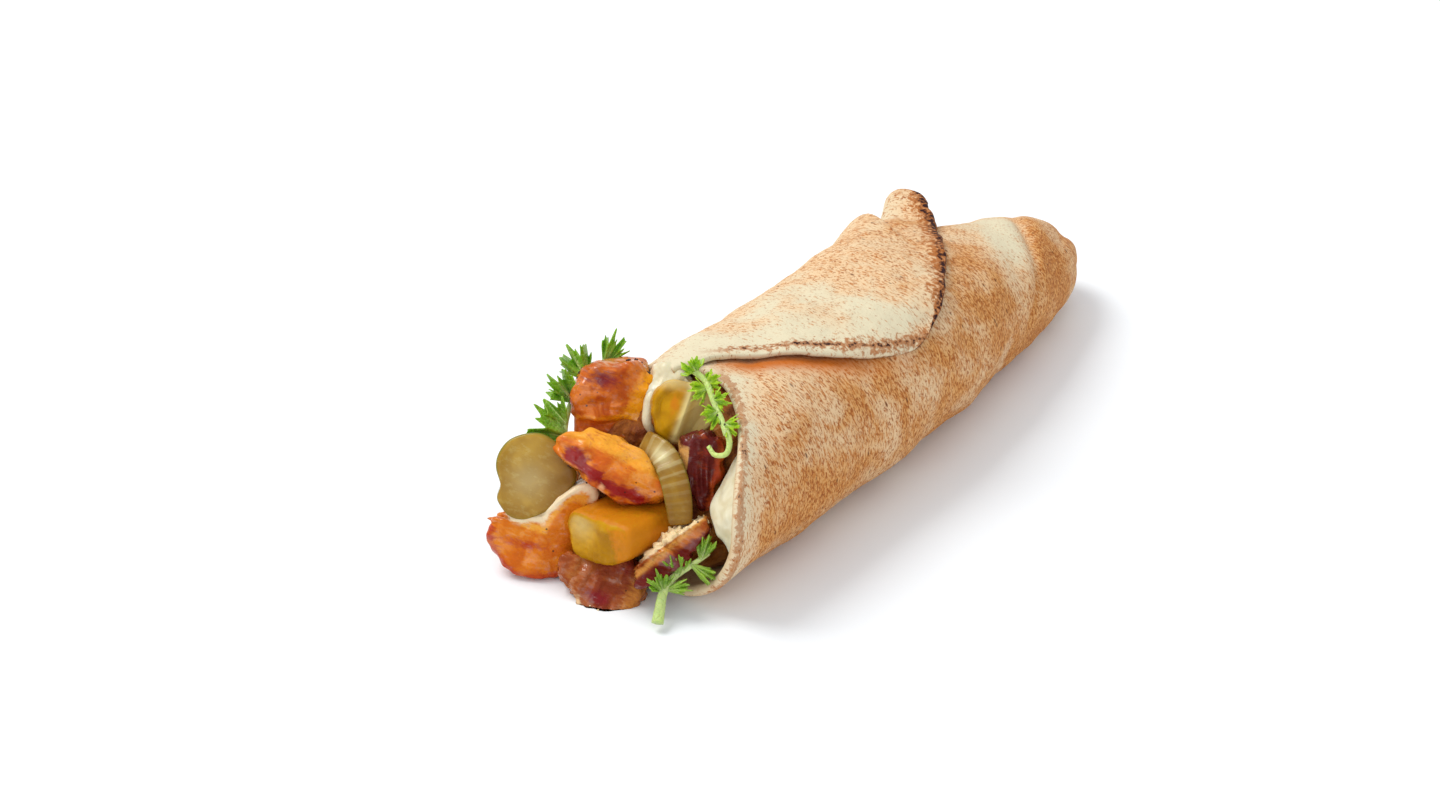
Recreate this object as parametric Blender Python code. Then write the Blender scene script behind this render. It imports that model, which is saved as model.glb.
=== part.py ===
"""Doner kebab sandwich: a flatbread rolled round chicken, potato, pickle, lettuce and garlic sauce.

+X runs from the open mouth to the tucked end, +Y to the back and +Z up. The roll lies on z = 0,
and the origin is the middle of the whole sandwich's underside. Sizes and places are in
millimetres, measured from the mouth, and to_metres() turns them into the frame.
"""

import math

import bpy
import numpy as np

# Frame: where the mouth's top sits, and how far the roll's middle line lies behind the origin.
MOUTH_X = -68.0
MIDDLE_Y = -2.5

# The roll
ROLL_LENGTH = 186.0
HALF_WIDTH = 32.0
HALF_HEIGHT = 26.5
TAPER_START = 70.0
TAPER_LENGTH = 145.0
WIDTH_TAPER = 18.0
HEIGHT_TAPER = 13.5
MOUTH_SHIFT = -2.0
END_SHIFT = 0.5
END_ROUNDING = 27.0
FOOT_FLAT = 1.5
SQUARENESS = 2.15
BREAD = 2.2
MOUTH_TOP_X = 6.0
MOUTH_FOOT_X = -28.0
WAIST_WIDTH = 0.8  # wider by this at 45 behind the mouth
WAIST_HEIGHT = 1.2  # lower by this at 50 behind the mouth
SHIFT_START = 20.0
SHIFT_LENGTH = 160.0
RIM_FRONT_START = -12.0  # degrees from the top where the rim starts forward, towards the front
RIM_FRONT_SPAN = 100.0
RIM_BACK_START = 30.0  # and towards the back
RIM_BACK_SPAN = 110.0

# The outer turn of the bread, whose round edge lies over the top as a flap
FLAP_SEAT = 0.6
FLAP_OVERHANG = 1.0
FLAP_ROOT = math.radians(-165)
FLAP_START = math.radians(-19)
FLAP_CORNER = math.radians(49)
FLAP_CORNER_X = 65.0
FLAP_TIP = math.radians(-38)
FLAP_TIP_X = 142.0
FLAP_BACK_FALL = 14.0  # the far edge comes this much forward down the back
FLAP_ROUNDNESS = 0.66
FLAP_TIP_LIFT = 10.0
FLAP_TIP_START_X = 114.0
FLAP_TIP_RISE = 24.0
FLAP_PLEAT_LIFT = 3.5
FLAP_PLEAT_X = 106.0
FLAP_PLEAT_WIDTH = 14.0

# The packed filling's front: x = slant * height - reach
CORE_SLANT = 0.6
CORE_REACH = 28.0
CORE_BULGE = 11.0
CORE_SETBACK = 6.0  # behind the rim
CORE_UNEVENNESS = 1.6

# Clear gap between neighbours
GAP = 0.35

# Room for cutting: how far the roll's outer cutter stands off it, and the box below the table
OUTSIDE_ROOM = 16.0
TABLE_LOW, TABLE_HIGH = (-80.0, -60.0, -30.0), (40.0, 60.0, 0.0)


def clear_scene():
    for obj in list(bpy.data.objects):
        bpy.data.objects.remove(obj)


def ease(t):
    """0 to 1 with level ends."""
    t = np.clip(t, 0.0, 1.0)
    return t * t * (3 - 2 * t)


def bump(x, centre, width):
    """A round hump of height 1 and about that half width."""
    return np.exp(-(((x - centre) / width) ** 2))


def to_metres(points):
    return (np.asarray(points, float) + [MOUTH_X, MIDDLE_Y, 0.0]) * 0.001


def colour_material(name, colour, roughness):
    material = bpy.data.materials.new(name)
    material.use_nodes = True
    shader = material.node_tree.nodes["Principled BSDF"]
    shader.inputs["Base Color"].default_value = (*colour, 1.0)
    shader.inputs["Roughness"].default_value = roughness
    material.diffuse_color = (*colour, 1.0)
    return material


def new_object(name, points, faces, material=None):
    mesh = bpy.data.meshes.new(name)
    mesh.from_pydata([tuple(p) for p in points], [], faces)
    mesh.validate()
    mesh.shade_smooth()
    mesh.set_sharp_from_angle(angle=math.radians(40))
    obj = bpy.data.objects.new(name, mesh)
    bpy.context.scene.collection.objects.link(obj)
    if material:
        mesh.materials.append(material)
    return obj


def hide_as_cutter(obj):
    obj.hide_render = True
    obj.display_type = "WIRE"
    return obj


def ring_faces(rows, around, first=0, flip=False):
    """Quads between neighbouring closed rings of the same number of points."""
    faces = []
    for i in range(rows - 1):
        for j in range(around):
            k = (j + 1) % around
            a, b = first + i * around, first + (i + 1) * around
            quad = (a + j, a + k, b + k, b + j)
            faces.append(quad[::-1] if flip else quad)
    return faces


def capped_skin(rings, start, end):
    """Points and faces of a closed skin: a pole, rings of points and another pole."""
    around = len(rings[0])
    points = [p for ring in rings for p in ring]
    faces = ring_faces(len(rings), around)
    first_pole, last_pole = len(points), len(points) + 1
    points += [start, end]
    last = (len(rings) - 1) * around
    for j in range(around):
        k = (j + 1) % around
        faces.append((first_pole, k, j))
        faces.append((last_pole, last + j, last + k))
    return points, faces


# ---------------------------------------------------------------- the roll's form


def roll_section(x):
    """Half width, half height and sideways shift of the roll, x behind the mouth."""
    taper = ease((x - TAPER_START) / TAPER_LENGTH)
    width = HALF_WIDTH + WAIST_WIDTH * bump(x, 45, 40) - WIDTH_TAPER * taper
    height = HALF_HEIGHT - WAIST_HEIGHT * bump(x, 50, 30) - HEIGHT_TAPER * taper
    shift = MOUTH_SHIFT + (END_SHIFT - MOUTH_SHIFT) * ease((x - SHIFT_START) / SHIFT_LENGTH)
    return width, height, shift


def mouth_edge(angle):
    """x of the bread's rim at an angle from the top: the foot and the front reach out furthest."""
    degrees = np.degrees(angle)
    front = (degrees - RIM_FRONT_START) / RIM_FRONT_SPAN
    back = (-degrees - RIM_BACK_START) / RIM_BACK_SPAN
    low = ease(np.maximum(front, back))
    return MOUTH_TOP_X + (MOUTH_FOOT_X - MOUTH_TOP_X) * low


def roll_point(x, angle, proud=0.0, floor=0.0):
    """Point on the roll's face: a rounded-square section, closed by a dome at the tucked end.

    proud is how far the point stands off the bread's outer face, and floor is the lowest z."""
    width, height, shift = roll_section(x)
    dome_start = ROLL_LENGTH - END_ROUNDING
    reach = END_ROUNDING + np.minimum(proud, 0.0)
    along = np.clip((x - dome_start) / reach, 0.0, 1.0)
    close = np.sqrt(1 - along**2)
    side = np.sign(np.sin(angle)) * np.abs(np.sin(angle)) ** (2 / SQUARENESS)
    rise = np.sign(np.cos(angle)) * np.abs(np.cos(angle)) ** (2 / SQUARENESS)
    y = shift - (width + proud) * close * side
    z = height - FOOT_FLAT + (height + proud) * close * rise
    return np.stack(np.broadcast_arrays(x + 0 * y, y, np.maximum(z, floor)), axis=-1)


def roll_stations(first, last, count):
    """x of each ring, close together where the dome turns in. first may differ round the rim."""
    steps = np.sin(np.linspace(0, math.pi / 2, count))
    return first + (last - first) * steps[:, None]


def roll_rings(angles, first, last, count, proud=0.0, floor=0.0):
    rings = roll_stations(first, last, count + 1)[:-1]
    return [roll_point(x, angles, proud, floor) for x in rings]


# ---------------------------------------------------------------- the bread


def bread_shell(name, outside=0.0, inside=-BREAD, rim_ahead=0.0, around=36, rows=15, material=None):
    """An open-mouthed, closed-ended wall between two skins of the roll."""
    angles = np.linspace(-math.pi, math.pi, around, endpoint=False)
    rim = mouth_edge(angles) - rim_ahead
    outer = roll_rings(angles, rim, ROLL_LENGTH + max(outside, 0.0), rows, outside)
    inner_floor = -inside if outside <= 0 else BREAD + GAP
    inner = roll_rings(angles, rim, ROLL_LENGTH + inside, rows - 4, inside, inner_floor)
    middle_y = roll_section(np.array(ROLL_LENGTH))[2]
    middle_z = roll_section(np.array(ROLL_LENGTH))[1] - FOOT_FLAT
    points = [p for ring in outer + inner for p in ring]
    faces = ring_faces(len(outer), around)
    start = len(outer) * around
    faces += ring_faces(len(inner), around, start, flip=True)
    tip_out, tip_in = len(points), len(points) + 1
    points += [
        (ROLL_LENGTH + max(outside, 0.0), middle_y, middle_z),
        (ROLL_LENGTH + inside, middle_y, middle_z),
    ]
    end_out, end_in = start - around, start + (len(inner) - 1) * around
    for j in range(around):
        k = (j + 1) % around
        faces.append((tip_out, end_out + j, end_out + k))
        faces.append((tip_in, end_in + k, end_in + j))
        faces.append((j, start + j, start + k, k))
    return new_object(name, to_metres(points), faces, material)


def flap_front_edge(u):
    """x and angle of the flap's front edge: it leaves the mouth's top and curves down to a corner."""
    return FLAP_CORNER_X * u, FLAP_START + (FLAP_CORNER - FLAP_START) * (1 - (1 - u) ** 1.5)


def flap_far_edge(angle):
    """x of the flap's round far edge: from the corner up to the tip, and then down the back."""
    rise = np.clip((FLAP_CORNER - angle) / (FLAP_CORNER - FLAP_TIP), 0, 1) ** FLAP_ROUNDNESS
    behind = ease((FLAP_TIP - angle) / (FLAP_TIP - FLAP_ROOT))
    return FLAP_CORNER_X + (FLAP_TIP_X - FLAP_CORNER_X) * rise - FLAP_BACK_FALL * behind


def flap_lift(x, angle):
    """How far the flap stands off the roll: a raised pleat that runs up to a lifted tip."""
    across = np.degrees(angle - FLAP_TIP)
    tip = FLAP_TIP_LIFT * bump(across, -8, 22) * ease((x - FLAP_TIP_START_X) / FLAP_TIP_RISE)
    pleat = FLAP_PLEAT_LIFT * bump(across, -4, 20) * bump(x, FLAP_PLEAT_X, FLAP_PLEAT_WIDTH)
    return tip + pleat


def flap_slab(name, grow=0.0, rows=11, columns=15):
    """The outer turn of bread: it comes up the back and lies over the top, seated on the roll."""
    u, v = np.meshgrid(np.linspace(0, 1, rows), np.linspace(0, 1, columns), indexing="ij")
    edge_x, edge_angle = flap_front_edge(u)
    angle = FLAP_ROOT + (edge_angle - FLAP_ROOT) * v + grow / HALF_HEIGHT * (v == 1)
    near = mouth_edge(angle) - FLAP_OVERHANG - grow
    far = flap_far_edge(FLAP_ROOT + (FLAP_CORNER - FLAP_ROOT) * v)
    x = near + (far - near) * u
    x += (edge_x - x) * v**6 * (1 - u)
    lift = flap_lift(x, angle)
    top = roll_point(x, angle, lift + BREAD * ease(v / 0.15) - FLAP_SEAT / 2 + grow)
    under = roll_point(x, angle, lift - FLAP_SEAT - grow)
    count = rows * columns
    points = np.concatenate([top.reshape(-1, 3), under.reshape(-1, 3)])
    faces = []
    for i in range(rows - 1):
        for j in range(columns - 1):
            a = i * columns + j
            b = a + columns
            faces.append((a, a + 1, b + 1, b))
            faces.append((count + b, count + b + 1, count + a + 1, count + a))
    border = [j for j in range(columns)]
    border += [i * columns + columns - 1 for i in range(1, rows)]
    border += [(rows - 1) * columns + j for j in range(columns - 2, -1, -1)]
    border += [i * columns for i in range(rows - 2, 0, -1)]
    for a, b in zip(border, border[1:] + border[:1]):
        faces.append((a, count + a, count + b, b))
    return new_object(name, to_metres(points), faces)


def cut(obj, cutter, operation="DIFFERENCE"):
    modifier = obj.modifiers.new(cutter.name, "BOOLEAN")
    modifier.operation = operation
    modifier.object = cutter


def make_bread():
    bread = bread_shell("bread", material=colour_material("bread", (0.86, 0.66, 0.42), 0.75))
    flap = hide_as_cutter(flap_slab("flap_form"))
    cut(bread, flap, "UNION")
    return bread


# ---------------------------------------------------------------- the pieces of filling


def frame_of(face, along):
    """Axes of a piece: along its length, across it, and out of its face."""
    normal = np.asarray(face, float)
    normal = normal / np.linalg.norm(normal)
    along = np.asarray(along, float)
    along = along - along.dot(normal) * normal
    along = along / np.linalg.norm(along)
    return np.array([along, np.cross(normal, along), normal])


def round_outline(radii, around):
    """A smooth closed outline through radii that are evenly spaced round the middle."""
    turn = np.arange(around) * len(radii) / around
    first = turn.astype(int)
    t = turn - first
    r = [np.take(radii, first + k, mode="wrap") for k in (-1, 0, 1, 2)]
    smooth = r[1] + 0.5 * t * (
        r[2] - r[0] + t * (2 * r[0] - 5 * r[1] + 4 * r[2] - r[3] + t * (3 * (r[1] - r[2]) + r[3] - r[0]))
    )
    angles = np.linspace(0, 2 * math.pi, around, endpoint=False)
    return smooth * np.cos(angles), smooth * np.sin(angles)


def pad(name, middle, face, along, radii, thickness, edge=2.0, arch=(0, 0), grow=0.0, material=None,
        around=20):
    """A chunk or slice of food: an outline across its face, with rounded edges.

    middle is the middle of the face that shows, radii are the outline's, from `along` and
    anticlockwise, and arch is how much the face falls per square millimetre along and across."""
    axes = frame_of(face, along)
    x, y = round_outline(radii, around)
    far = np.hypot(x, y)
    x, y = x * (far + grow) / far, y * (far + grow) / far
    edge = min(edge, thickness * 0.45)
    shoulder, turn = (far - edge) / far, (far - 0.3 * edge) / far
    foot = -thickness - grow
    levels = [(0.5 * shoulder, grow), (shoulder, grow), (turn, grow - 0.3 * edge), (1.0, -edge)]
    levels += [(1.0, edge - thickness), (turn, foot + 0.3 * edge), (shoulder, foot), (0.5 * shoulder, foot)]
    rings = []
    for share, height in levels:
        u, v = x * share, y * share
        w = height - arch[0] * u**2 - arch[1] * v**2
        rings.append(np.stack(np.broadcast_arrays(u, v, w), axis=-1) @ axes + middle)
    top, under = (np.array([0, 0, height]) @ axes + middle for height in (grow, foot))
    points, faces = capped_skin(rings, top, under)
    return new_object(name, to_metres(points), [f[::-1] for f in faces], material)


def smooth_path(points, count):
    """A curve through a few points, by a cubic between each pair, at `count` even steps."""
    points = np.array(points, float)
    knots = np.concatenate([2 * points[:1] - points[1:2], points, 2 * points[-1:] - points[-2:-1]])
    turn = np.linspace(0, len(points) - 1 - 1e-9, count)
    first = turn.astype(int)
    t = (turn - first)[:, None]
    p = [knots[first + k] for k in range(4)]
    return p[1] + 0.5 * t * (
        p[2] - p[0] + t * (2 * p[0] - 5 * p[1] + 4 * p[2] - p[3] + t * (3 * (p[1] - p[2]) + p[3] - p[0]))
    )


def ribbon(name, path, face, width, thickness, ruffle=0.0, waves=0.0, grow=0.0, material=None,
           steps=15):
    """A flat strip carried along a path with its broad side towards `face`, or a ruffled leaf."""
    middle = smooth_path(path, steps)
    normal = np.asarray(face, float)
    normal = normal / np.linalg.norm(normal)
    ahead = np.gradient(middle, axis=0)
    ahead /= np.linalg.norm(ahead, axis=1)[:, None]
    across = np.cross(normal, ahead)
    across /= np.linalg.norm(across, axis=1)[:, None]
    out = np.cross(ahead, across)
    s = np.linspace(0, 1, steps)
    half = width / 2 * (0.55 + 0.45 * np.sin(math.pi * np.clip(s * 0.9 + 0.05, 0, 1))) + grow
    if ruffle:
        half = half * (1 + 0.22 * np.cos(2 * math.pi * waves * s))
    thick = thickness / 2 + grow
    profile = [(-1, -0.5), (-0.55, -1), (0.55, -1), (1, -0.5), (1, 0.5), (0.55, 1), (-0.55, 1), (-1, 0.5)]
    rings = []
    for k in range(steps):
        wave = ruffle * math.sin(2 * math.pi * waves * s[k] + 0.6)
        ring = [middle[k] + across[k] * a * half[k] + out[k] * (b * thick + wave * abs(a) * a)
                for a, b in profile]
        rings.append(np.array(ring))
    start = middle[0] - ahead[0] * (thickness / 3 + grow)
    end = middle[-1] + ahead[-1] * (thickness / 3 + grow)
    points, faces = capped_skin(rings, start, end)
    return new_object(name, to_metres(points), faces, material)


# Colours of the filling
CHICKEN = (0.74, 0.30, 0.08)
CHARRED_CHICKEN = (0.42, 0.13, 0.05)
POTATO = (0.82, 0.58, 0.12)
PICKLE = (0.50, 0.44, 0.12)
LETTUCE = (0.28, 0.50, 0.05)
SAUCE = (0.88, 0.86, 0.74)
FILLING = (0.45, 0.22, 0.08)

# Each piece: name, colour, roughness, the function that makes it and its arguments. Earlier
# pieces stay whole, and later ones are cut clear of them.
PIECES = [
    ("lettuce_right", LETTUCE, 0.5, ribbon, dict(
        path=[(-2, 1, 54), (-3, -5, 53), (-6, -10, 50), (-9, -15, 48), (-12, -19, 45.5),
              (-14, -16, 43)],
        face=(-1, -0.8, 0.6), width=6, thickness=1.4, ruffle=0.8, waves=3.5)),
    ("lettuce_left", LETTUCE, 0.5, ribbon, dict(
        path=[(-6, 24, 55), (-9, 28, 50), (-13, 31, 46), (-18, 33, 41), (-24, 34, 37)],
        face=(-1, -0.7, 0.7), width=8, thickness=1.6, ruffle=1.0, waves=3)),
    ("lettuce_bottom", LETTUCE, 0.5, ribbon, dict(
        path=[(-43, -18, 2.5), (-39, -16, 6), (-35, -15, 10), (-30, -18, 13), (-25, -21, 17)],
        face=(-1, -0.7, 0.6), width=6, thickness=1.5, ruffle=1.0, waves=3)),
    ("chicken_middle", CHICKEN, 0.3, pad, dict(
        middle=(-30, 9, 34), face=(-1, -0.6, 0.9), along=(0, -1, 0), thickness=10, arch=(0.008, 0.02),
        radii=(17, 12, 9, 9, 10, 13, 17, 8, 6, 6, 8, 12))),
    ("chicken_left", CHICKEN, 0.4, pad, dict(
        middle=(-42, 21, 12), face=(-1, -0.8, 0.35), along=(0, -1, 0), thickness=7, edge=1.6,
        arch=(0.012, 0.0), radii=(6, 8, 20, 11, 8, 10, 16, 16, 14, 11, 9, 8))),
    ("pickle_slice", PICKLE, 0.35, pad, dict(
        middle=(-38, 28, 28), face=(-1, -0.77, 0.75), along=(0, 0, 1), thickness=5, edge=1.2,
        radii=(12, 12.5, 12, 11, 12.5, 13, 11, 10, 10, 11, 10.5, 11))),
    ("potato_front", POTATO, 0.4, pad, dict(
        middle=(-38, 6, 15), face=(-1, 0.1, 0.1), along=(0, -1, 0.1), thickness=22, edge=3.0,
        radii=(11, 12, 8, 7, 8, 12, 11, 12, 8, 7, 8, 12))),
    ("pickle_strip", PICKLE, 0.35, ribbon, dict(
        path=[(-15, 8, 36), (-18, -1, 36), (-21, -7, 32), (-24, -11, 27), (-26, -13, 22)],
        face=(-1, -0.9, 0.5), width=7.5, thickness=2.6, steps=12)),
    ("chicken_crumbed", CHICKEN, 0.5, pad, dict(
        middle=(-29, -13, 15), face=(-1, -0.77, 0.7), along=(0, -1, 0), thickness=8,
        radii=(4, 9, 13, 8, 6, 8, 12, 12, 5, 3))),
    ("chicken_charred", CHARRED_CHICKEN, 0.4, pad, dict(
        middle=(-14, -12, 33), face=(-1, -0.77, 0.4), along=(0, 0, 1), thickness=7,
        radii=(10, 10, 7, 5, 7, 11, 6, 5, 6, 9))),
    ("chicken_top", CHICKEN, 0.3, pad, dict(
        middle=(-14, 20, 43), face=(-1, -0.75, 0.55), along=(0, 0, 1), thickness=13, edge=2.5,
        arch=(0.0, 0.012), radii=(11, 12, 11, 12, 13, 10, 12, 10, 11, 13))),
    ("potato_back", POTATO, 0.4, pad, dict(
        middle=(-8, 0, 45), face=(-1, -0.77, 0.5), along=(0, 0, 1), thickness=15, edge=3.0,
        radii=(7, 8.5, 9, 9, 10, 10, 9, 9, 8, 7.5))),
    ("chicken_bottom", CHARRED_CHICKEN, 0.4, pad, dict(
        middle=(-43, 2, 7), face=(-1, -0.6, 0.7), along=(0, -1, 0), thickness=8,
        radii=(12, 12, 11, 9, 10, 14, 9, 9, 10, 10))),
    ("garlic_sauce_top", SAUCE, 0.3, pad, dict(
        middle=(-4, 8, 44), face=(-1, -0.77, 0.5), along=(0, 0, 1), thickness=9, edge=3.5,
        arch=(0.02, 0.02), radii=(7, 7, 8, 8, 9, 9, 8, 7))),
    ("garlic_sauce_side", SAUCE, 0.3, pad, dict(
        middle=(-18, -22, 25), face=(-1, 0.4, 0.3), along=(0, 0, 1), thickness=12, edge=3.0,
        radii=(7, 8, 8, 7, 7, 8, 8, 7))),
]


def core_front(y, z):
    """x of the packed filling's front, which bulges out at the back of the mouth."""
    return CORE_SLANT * z - CORE_REACH - CORE_BULGE * ease(y / 24)


def filling_core(name, material):
    """The packed filling behind the visible pieces: it fills the roll, with a slanting front."""
    around, rows = 28, 8
    angles = np.linspace(-math.pi, math.pi, around, endpoint=False)
    front = mouth_edge(angles) + CORE_SETBACK
    inside = -(BREAD - GAP)
    rings = roll_rings(angles, front, ROLL_LENGTH + inside, rows, inside, -inside)
    rim = rings[0]
    middle = rim.mean(axis=0)
    face = []
    for k, share in enumerate((0.3, 0.62, 0.88)):
        ring = middle + (rim - middle) * share
        ring[:, 0] = core_front(ring[:, 1], ring[:, 2]) + CORE_UNEVENNESS * np.sin(3 * angles + 2 * k)
        face.append(ring)
    end = np.array([ROLL_LENGTH + inside, *rings[-1][:, 1:].mean(axis=0)])
    start = np.array([core_front(*middle[1:]), *middle[1:]])
    points, faces = capped_skin(face + rings, start, end)
    return new_object(name, to_metres(points), faces, material)


def box_cutter(name, low, high):
    corners = [(x, y, z) for x in (low[0], high[0]) for y in (low[1], high[1]) for z in (low[2], high[2])]
    faces = [(0, 1, 3, 2), (4, 6, 7, 5), (0, 4, 5, 1), (2, 3, 7, 6), (0, 2, 6, 4), (1, 5, 7, 3)]
    return hide_as_cutter(new_object(name, to_metres(corners), faces))


def make_filling():
    wall = hide_as_cutter(bread_shell("bread_room", OUTSIDE_ROOM, -(BREAD + 2 * GAP), FLAP_OVERHANG + GAP))
    flap = hide_as_cutter(flap_slab("flap_room", 2 * GAP))
    table = box_cutter("table_room", TABLE_LOW, TABLE_HIGH)
    clearances = []
    for name, colour, roughness, shape, form in PIECES:
        piece = shape(name, material=colour_material(name, colour, roughness), **form)
        for other in clearances:
            cut(piece, other)
        for side in (wall, flap, table):
            cut(piece, side)
        clearances.append(hide_as_cutter(shape(name + "_room", grow=GAP, **form)))
    core = filling_core("filling", colour_material("filling", FILLING, 0.6))
    cut(core, wall)
    for other in clearances:
        cut(core, other)


clear_scene()
make_bread()
make_filling()
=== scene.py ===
"""Doner kebab sandwich: a toasted flatbread rolled round chicken, potato, pickle, lettuce and sauce.

Pieces are worked out in millimetres in the roll's own measure (x backwards from the mouth, y to the
back, z up from the table) and set into the frame by put(). The mouth faces -X.
"""

import math

import bpy
import numpy as np
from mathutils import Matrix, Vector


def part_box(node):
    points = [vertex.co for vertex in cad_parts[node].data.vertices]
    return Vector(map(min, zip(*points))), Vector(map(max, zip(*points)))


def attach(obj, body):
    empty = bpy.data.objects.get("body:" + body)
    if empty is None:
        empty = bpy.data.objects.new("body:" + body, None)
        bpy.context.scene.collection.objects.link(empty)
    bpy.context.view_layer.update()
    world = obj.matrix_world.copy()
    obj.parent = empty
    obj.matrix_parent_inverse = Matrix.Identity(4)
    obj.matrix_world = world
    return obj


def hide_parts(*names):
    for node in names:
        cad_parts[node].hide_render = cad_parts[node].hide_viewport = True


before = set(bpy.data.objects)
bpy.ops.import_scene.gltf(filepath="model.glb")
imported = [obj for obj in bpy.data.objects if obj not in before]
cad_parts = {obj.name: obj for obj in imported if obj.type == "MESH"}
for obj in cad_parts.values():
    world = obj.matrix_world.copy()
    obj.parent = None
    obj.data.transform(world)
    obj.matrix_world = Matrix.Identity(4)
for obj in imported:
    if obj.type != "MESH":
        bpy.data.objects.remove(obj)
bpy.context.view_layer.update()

# ---------------------------------------------------------------- the rolled bread
# A round of thin leavened flatbread, about 2 mm thick, rolled into a tapering tube with its far
# end tucked shut. Its outside is freckled from the griddle and its cut rim is scorched in dashes.

MM = 0.001
ROLL_LENGTH = 186.0
ROLL_OFF_CENTRE = -2.5
ROLL_ORIGIN = np.array([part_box("bread")[1][0] / MM - ROLL_LENGTH, ROLL_OFF_CENTRE, 0.0])
HALF_WIDTH, WIDTH_TAPER = 32.0, 18.0
HALF_HEIGHT, HEIGHT_TAPER = 26.5, 13.5
TAPER_START, TAPER_LENGTH = 70, 145
MOUTH_SHIFT, END_SHIFT = -2.0, 0.5
SQUARENESS = 2.15
FOOT_FLAT = 1.5
RIM_TOP, RIM_FOOT = 6.0, -28.0
BREAD = 2.2
LIP = 3.2
END_ROUNDING = 27.0


def ease(t):
    """0 to 1 with level ends: t squared times (3 - 2t)."""
    t = np.clip(t, 0.0, 1.0)
    return t * t * (3 - 2 * t)


def hump(x, centre, width):
    """A round hump of height 1: e to the minus ((x - centre) / width) squared."""
    return np.exp(-(((x - centre) / width) ** 2))


def rounded(distance, radius, least=0.0):
    """Height of a round edge, 0 at the edge and 1 from a radius in: the rise of a quarter circle."""
    return np.sqrt(np.clip(1 - (1 - np.clip(distance / radius, 0, 1)) ** 2, least, 1))


def squared_off(wave, power):
    """A sine or cosine raised to a power under 1, with its sign kept, which squares a section off."""
    return np.sign(wave) * np.abs(wave) ** power


def unit(vectors):
    """Vectors at length 1."""
    return vectors / np.linalg.norm(vectors, axis=-1, keepdims=True)


def waves(points, size, seed):
    """A smooth uneven field of about -1 to 1: the sum of 30 plane waves of random heading and
    phase, whose lengths are near size in millimetres."""
    count = 30
    draw = np.random.default_rng(seed)
    heading = unit(draw.normal(size=(count, 3)))
    turns = heading * (2 * math.pi / (size * draw.uniform(0.65, 1.6, count)))[:, None]
    phase = draw.uniform(0, 2 * math.pi, count)
    return np.sin(np.asarray(points) @ turns.T + phase).sum(-1) / math.sqrt(count)


def roll_section(x):
    """Half width, half height and sideways shift of the roll: full at the mouth, with a slight
    waist, and eased down by the taper towards the tucked end."""
    taper = ease((x - TAPER_START) / TAPER_LENGTH)
    width = HALF_WIDTH + 0.8 * hump(x, 45, 40) - WIDTH_TAPER * taper
    height = HALF_HEIGHT - 1.2 * hump(x, 50, 30) - HEIGHT_TAPER * taper
    return width, height, MOUTH_SHIFT + (END_SHIFT - MOUTH_SHIFT) * ease((x - 20) / 160)


def mouth_edge(angle):
    """x of the rim, which comes forward on both sides from its top to its foot."""
    degrees = np.degrees(angle)
    down = np.maximum((degrees + 12) / 100, (-degrees - 30) / 110)
    return RIM_TOP - (RIM_TOP - RIM_FOOT) * ease(down)


def roll_point(x, angle, proud=0.0, floor=0.0):
    """A point on the roll's face: a superellipse at an angle from the top, closed at the tucked
    end by a dome. proud is its height off the face, and floor the lowest z."""
    width, height, shift = roll_section(x)
    reach = END_ROUNDING + np.minimum(proud, 0.0)
    close = np.sqrt(1 - np.clip((x - ROLL_LENGTH + END_ROUNDING) / reach, 0.0, 1.0) ** 2)
    side = squared_off(np.sin(angle), 2 / SQUARENESS)
    rise = squared_off(np.cos(angle), 2 / SQUARENESS)
    y = shift - (width + proud) * close * side
    z = height - FOOT_FLAT + (height + proud) * close * rise
    return np.stack(np.broadcast_arrays(x + 0 * y, y, np.maximum(z, floor)), axis=-1)


def closed_skin(grid, **masks):
    """A closed form from rings of points: triangles between neighbouring rings, and a fan from
    the middle of the first and of the last ring. masks are values at each point of the grid."""
    rows, around = grid.shape[:2]
    i, j = np.meshgrid(np.arange(rows - 1), np.arange(around), indexing="ij")
    k = (j + 1) % around
    a, b, c, d = i * around + j, i * around + k, (i + 1) * around + k, (i + 1) * around + j
    j, k, last = j[0], k[0], (rows - 1) * around
    pole = np.full_like(j, rows * around)
    faces = [np.stack(t, -1).reshape(-1, 3) for t in
             ((a, b, c), (a, c, d), (pole, k, j), (pole + 1, last + j, last + k))]

    def with_poles(values):
        """Values at every point of the grid, and then their means at its two ends."""
        values = np.broadcast_to(values, (rows, around, *np.shape(values)[2:]))
        flat = values.reshape(rows * around, -1)
        ends = [values[0].reshape(around, -1).mean(0), values[-1].reshape(around, -1).mean(0)]
        return np.concatenate([flat, ends])

    masks = {name: with_poles(values)[:, 0] for name, values in masks.items()}
    return {"points": with_poles(grid), "faces": np.concatenate(faces), "masks": masks}


def two_sided(top, under, **masks):
    """A closed sheet from two grids of points: both faces, and a wall round their border."""
    rows, columns = top.shape[:2]
    i, j = np.meshgrid(np.arange(rows - 1), np.arange(columns - 1), indexing="ij")
    a = i * columns + j
    b, c, d = a + 1, a + columns + 1, a + columns
    count = rows * columns
    index = np.arange(count).reshape(rows, columns)
    border = np.concatenate([index[0], index[1:, -1], index[-1, -2::-1], index[-2:0:-1, 0]])
    ahead = np.roll(border, -1)
    faces = [np.stack(t, -1).reshape(-1, 3) for t in (
        (a, b, c), (a, c, d), (count + a, count + c, count + b), (count + a, count + d, count + c),
        (border, count + border, count + ahead), (border, count + ahead, ahead))]
    masks = {name: np.tile(np.broadcast_to(values, (rows, columns)).ravel(), 2)
             for name, values in masks.items()}
    points = np.concatenate([top.reshape(-1, 3), under.reshape(-1, 3)])
    return {"points": points, "faces": np.concatenate(faces), "masks": masks}


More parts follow.
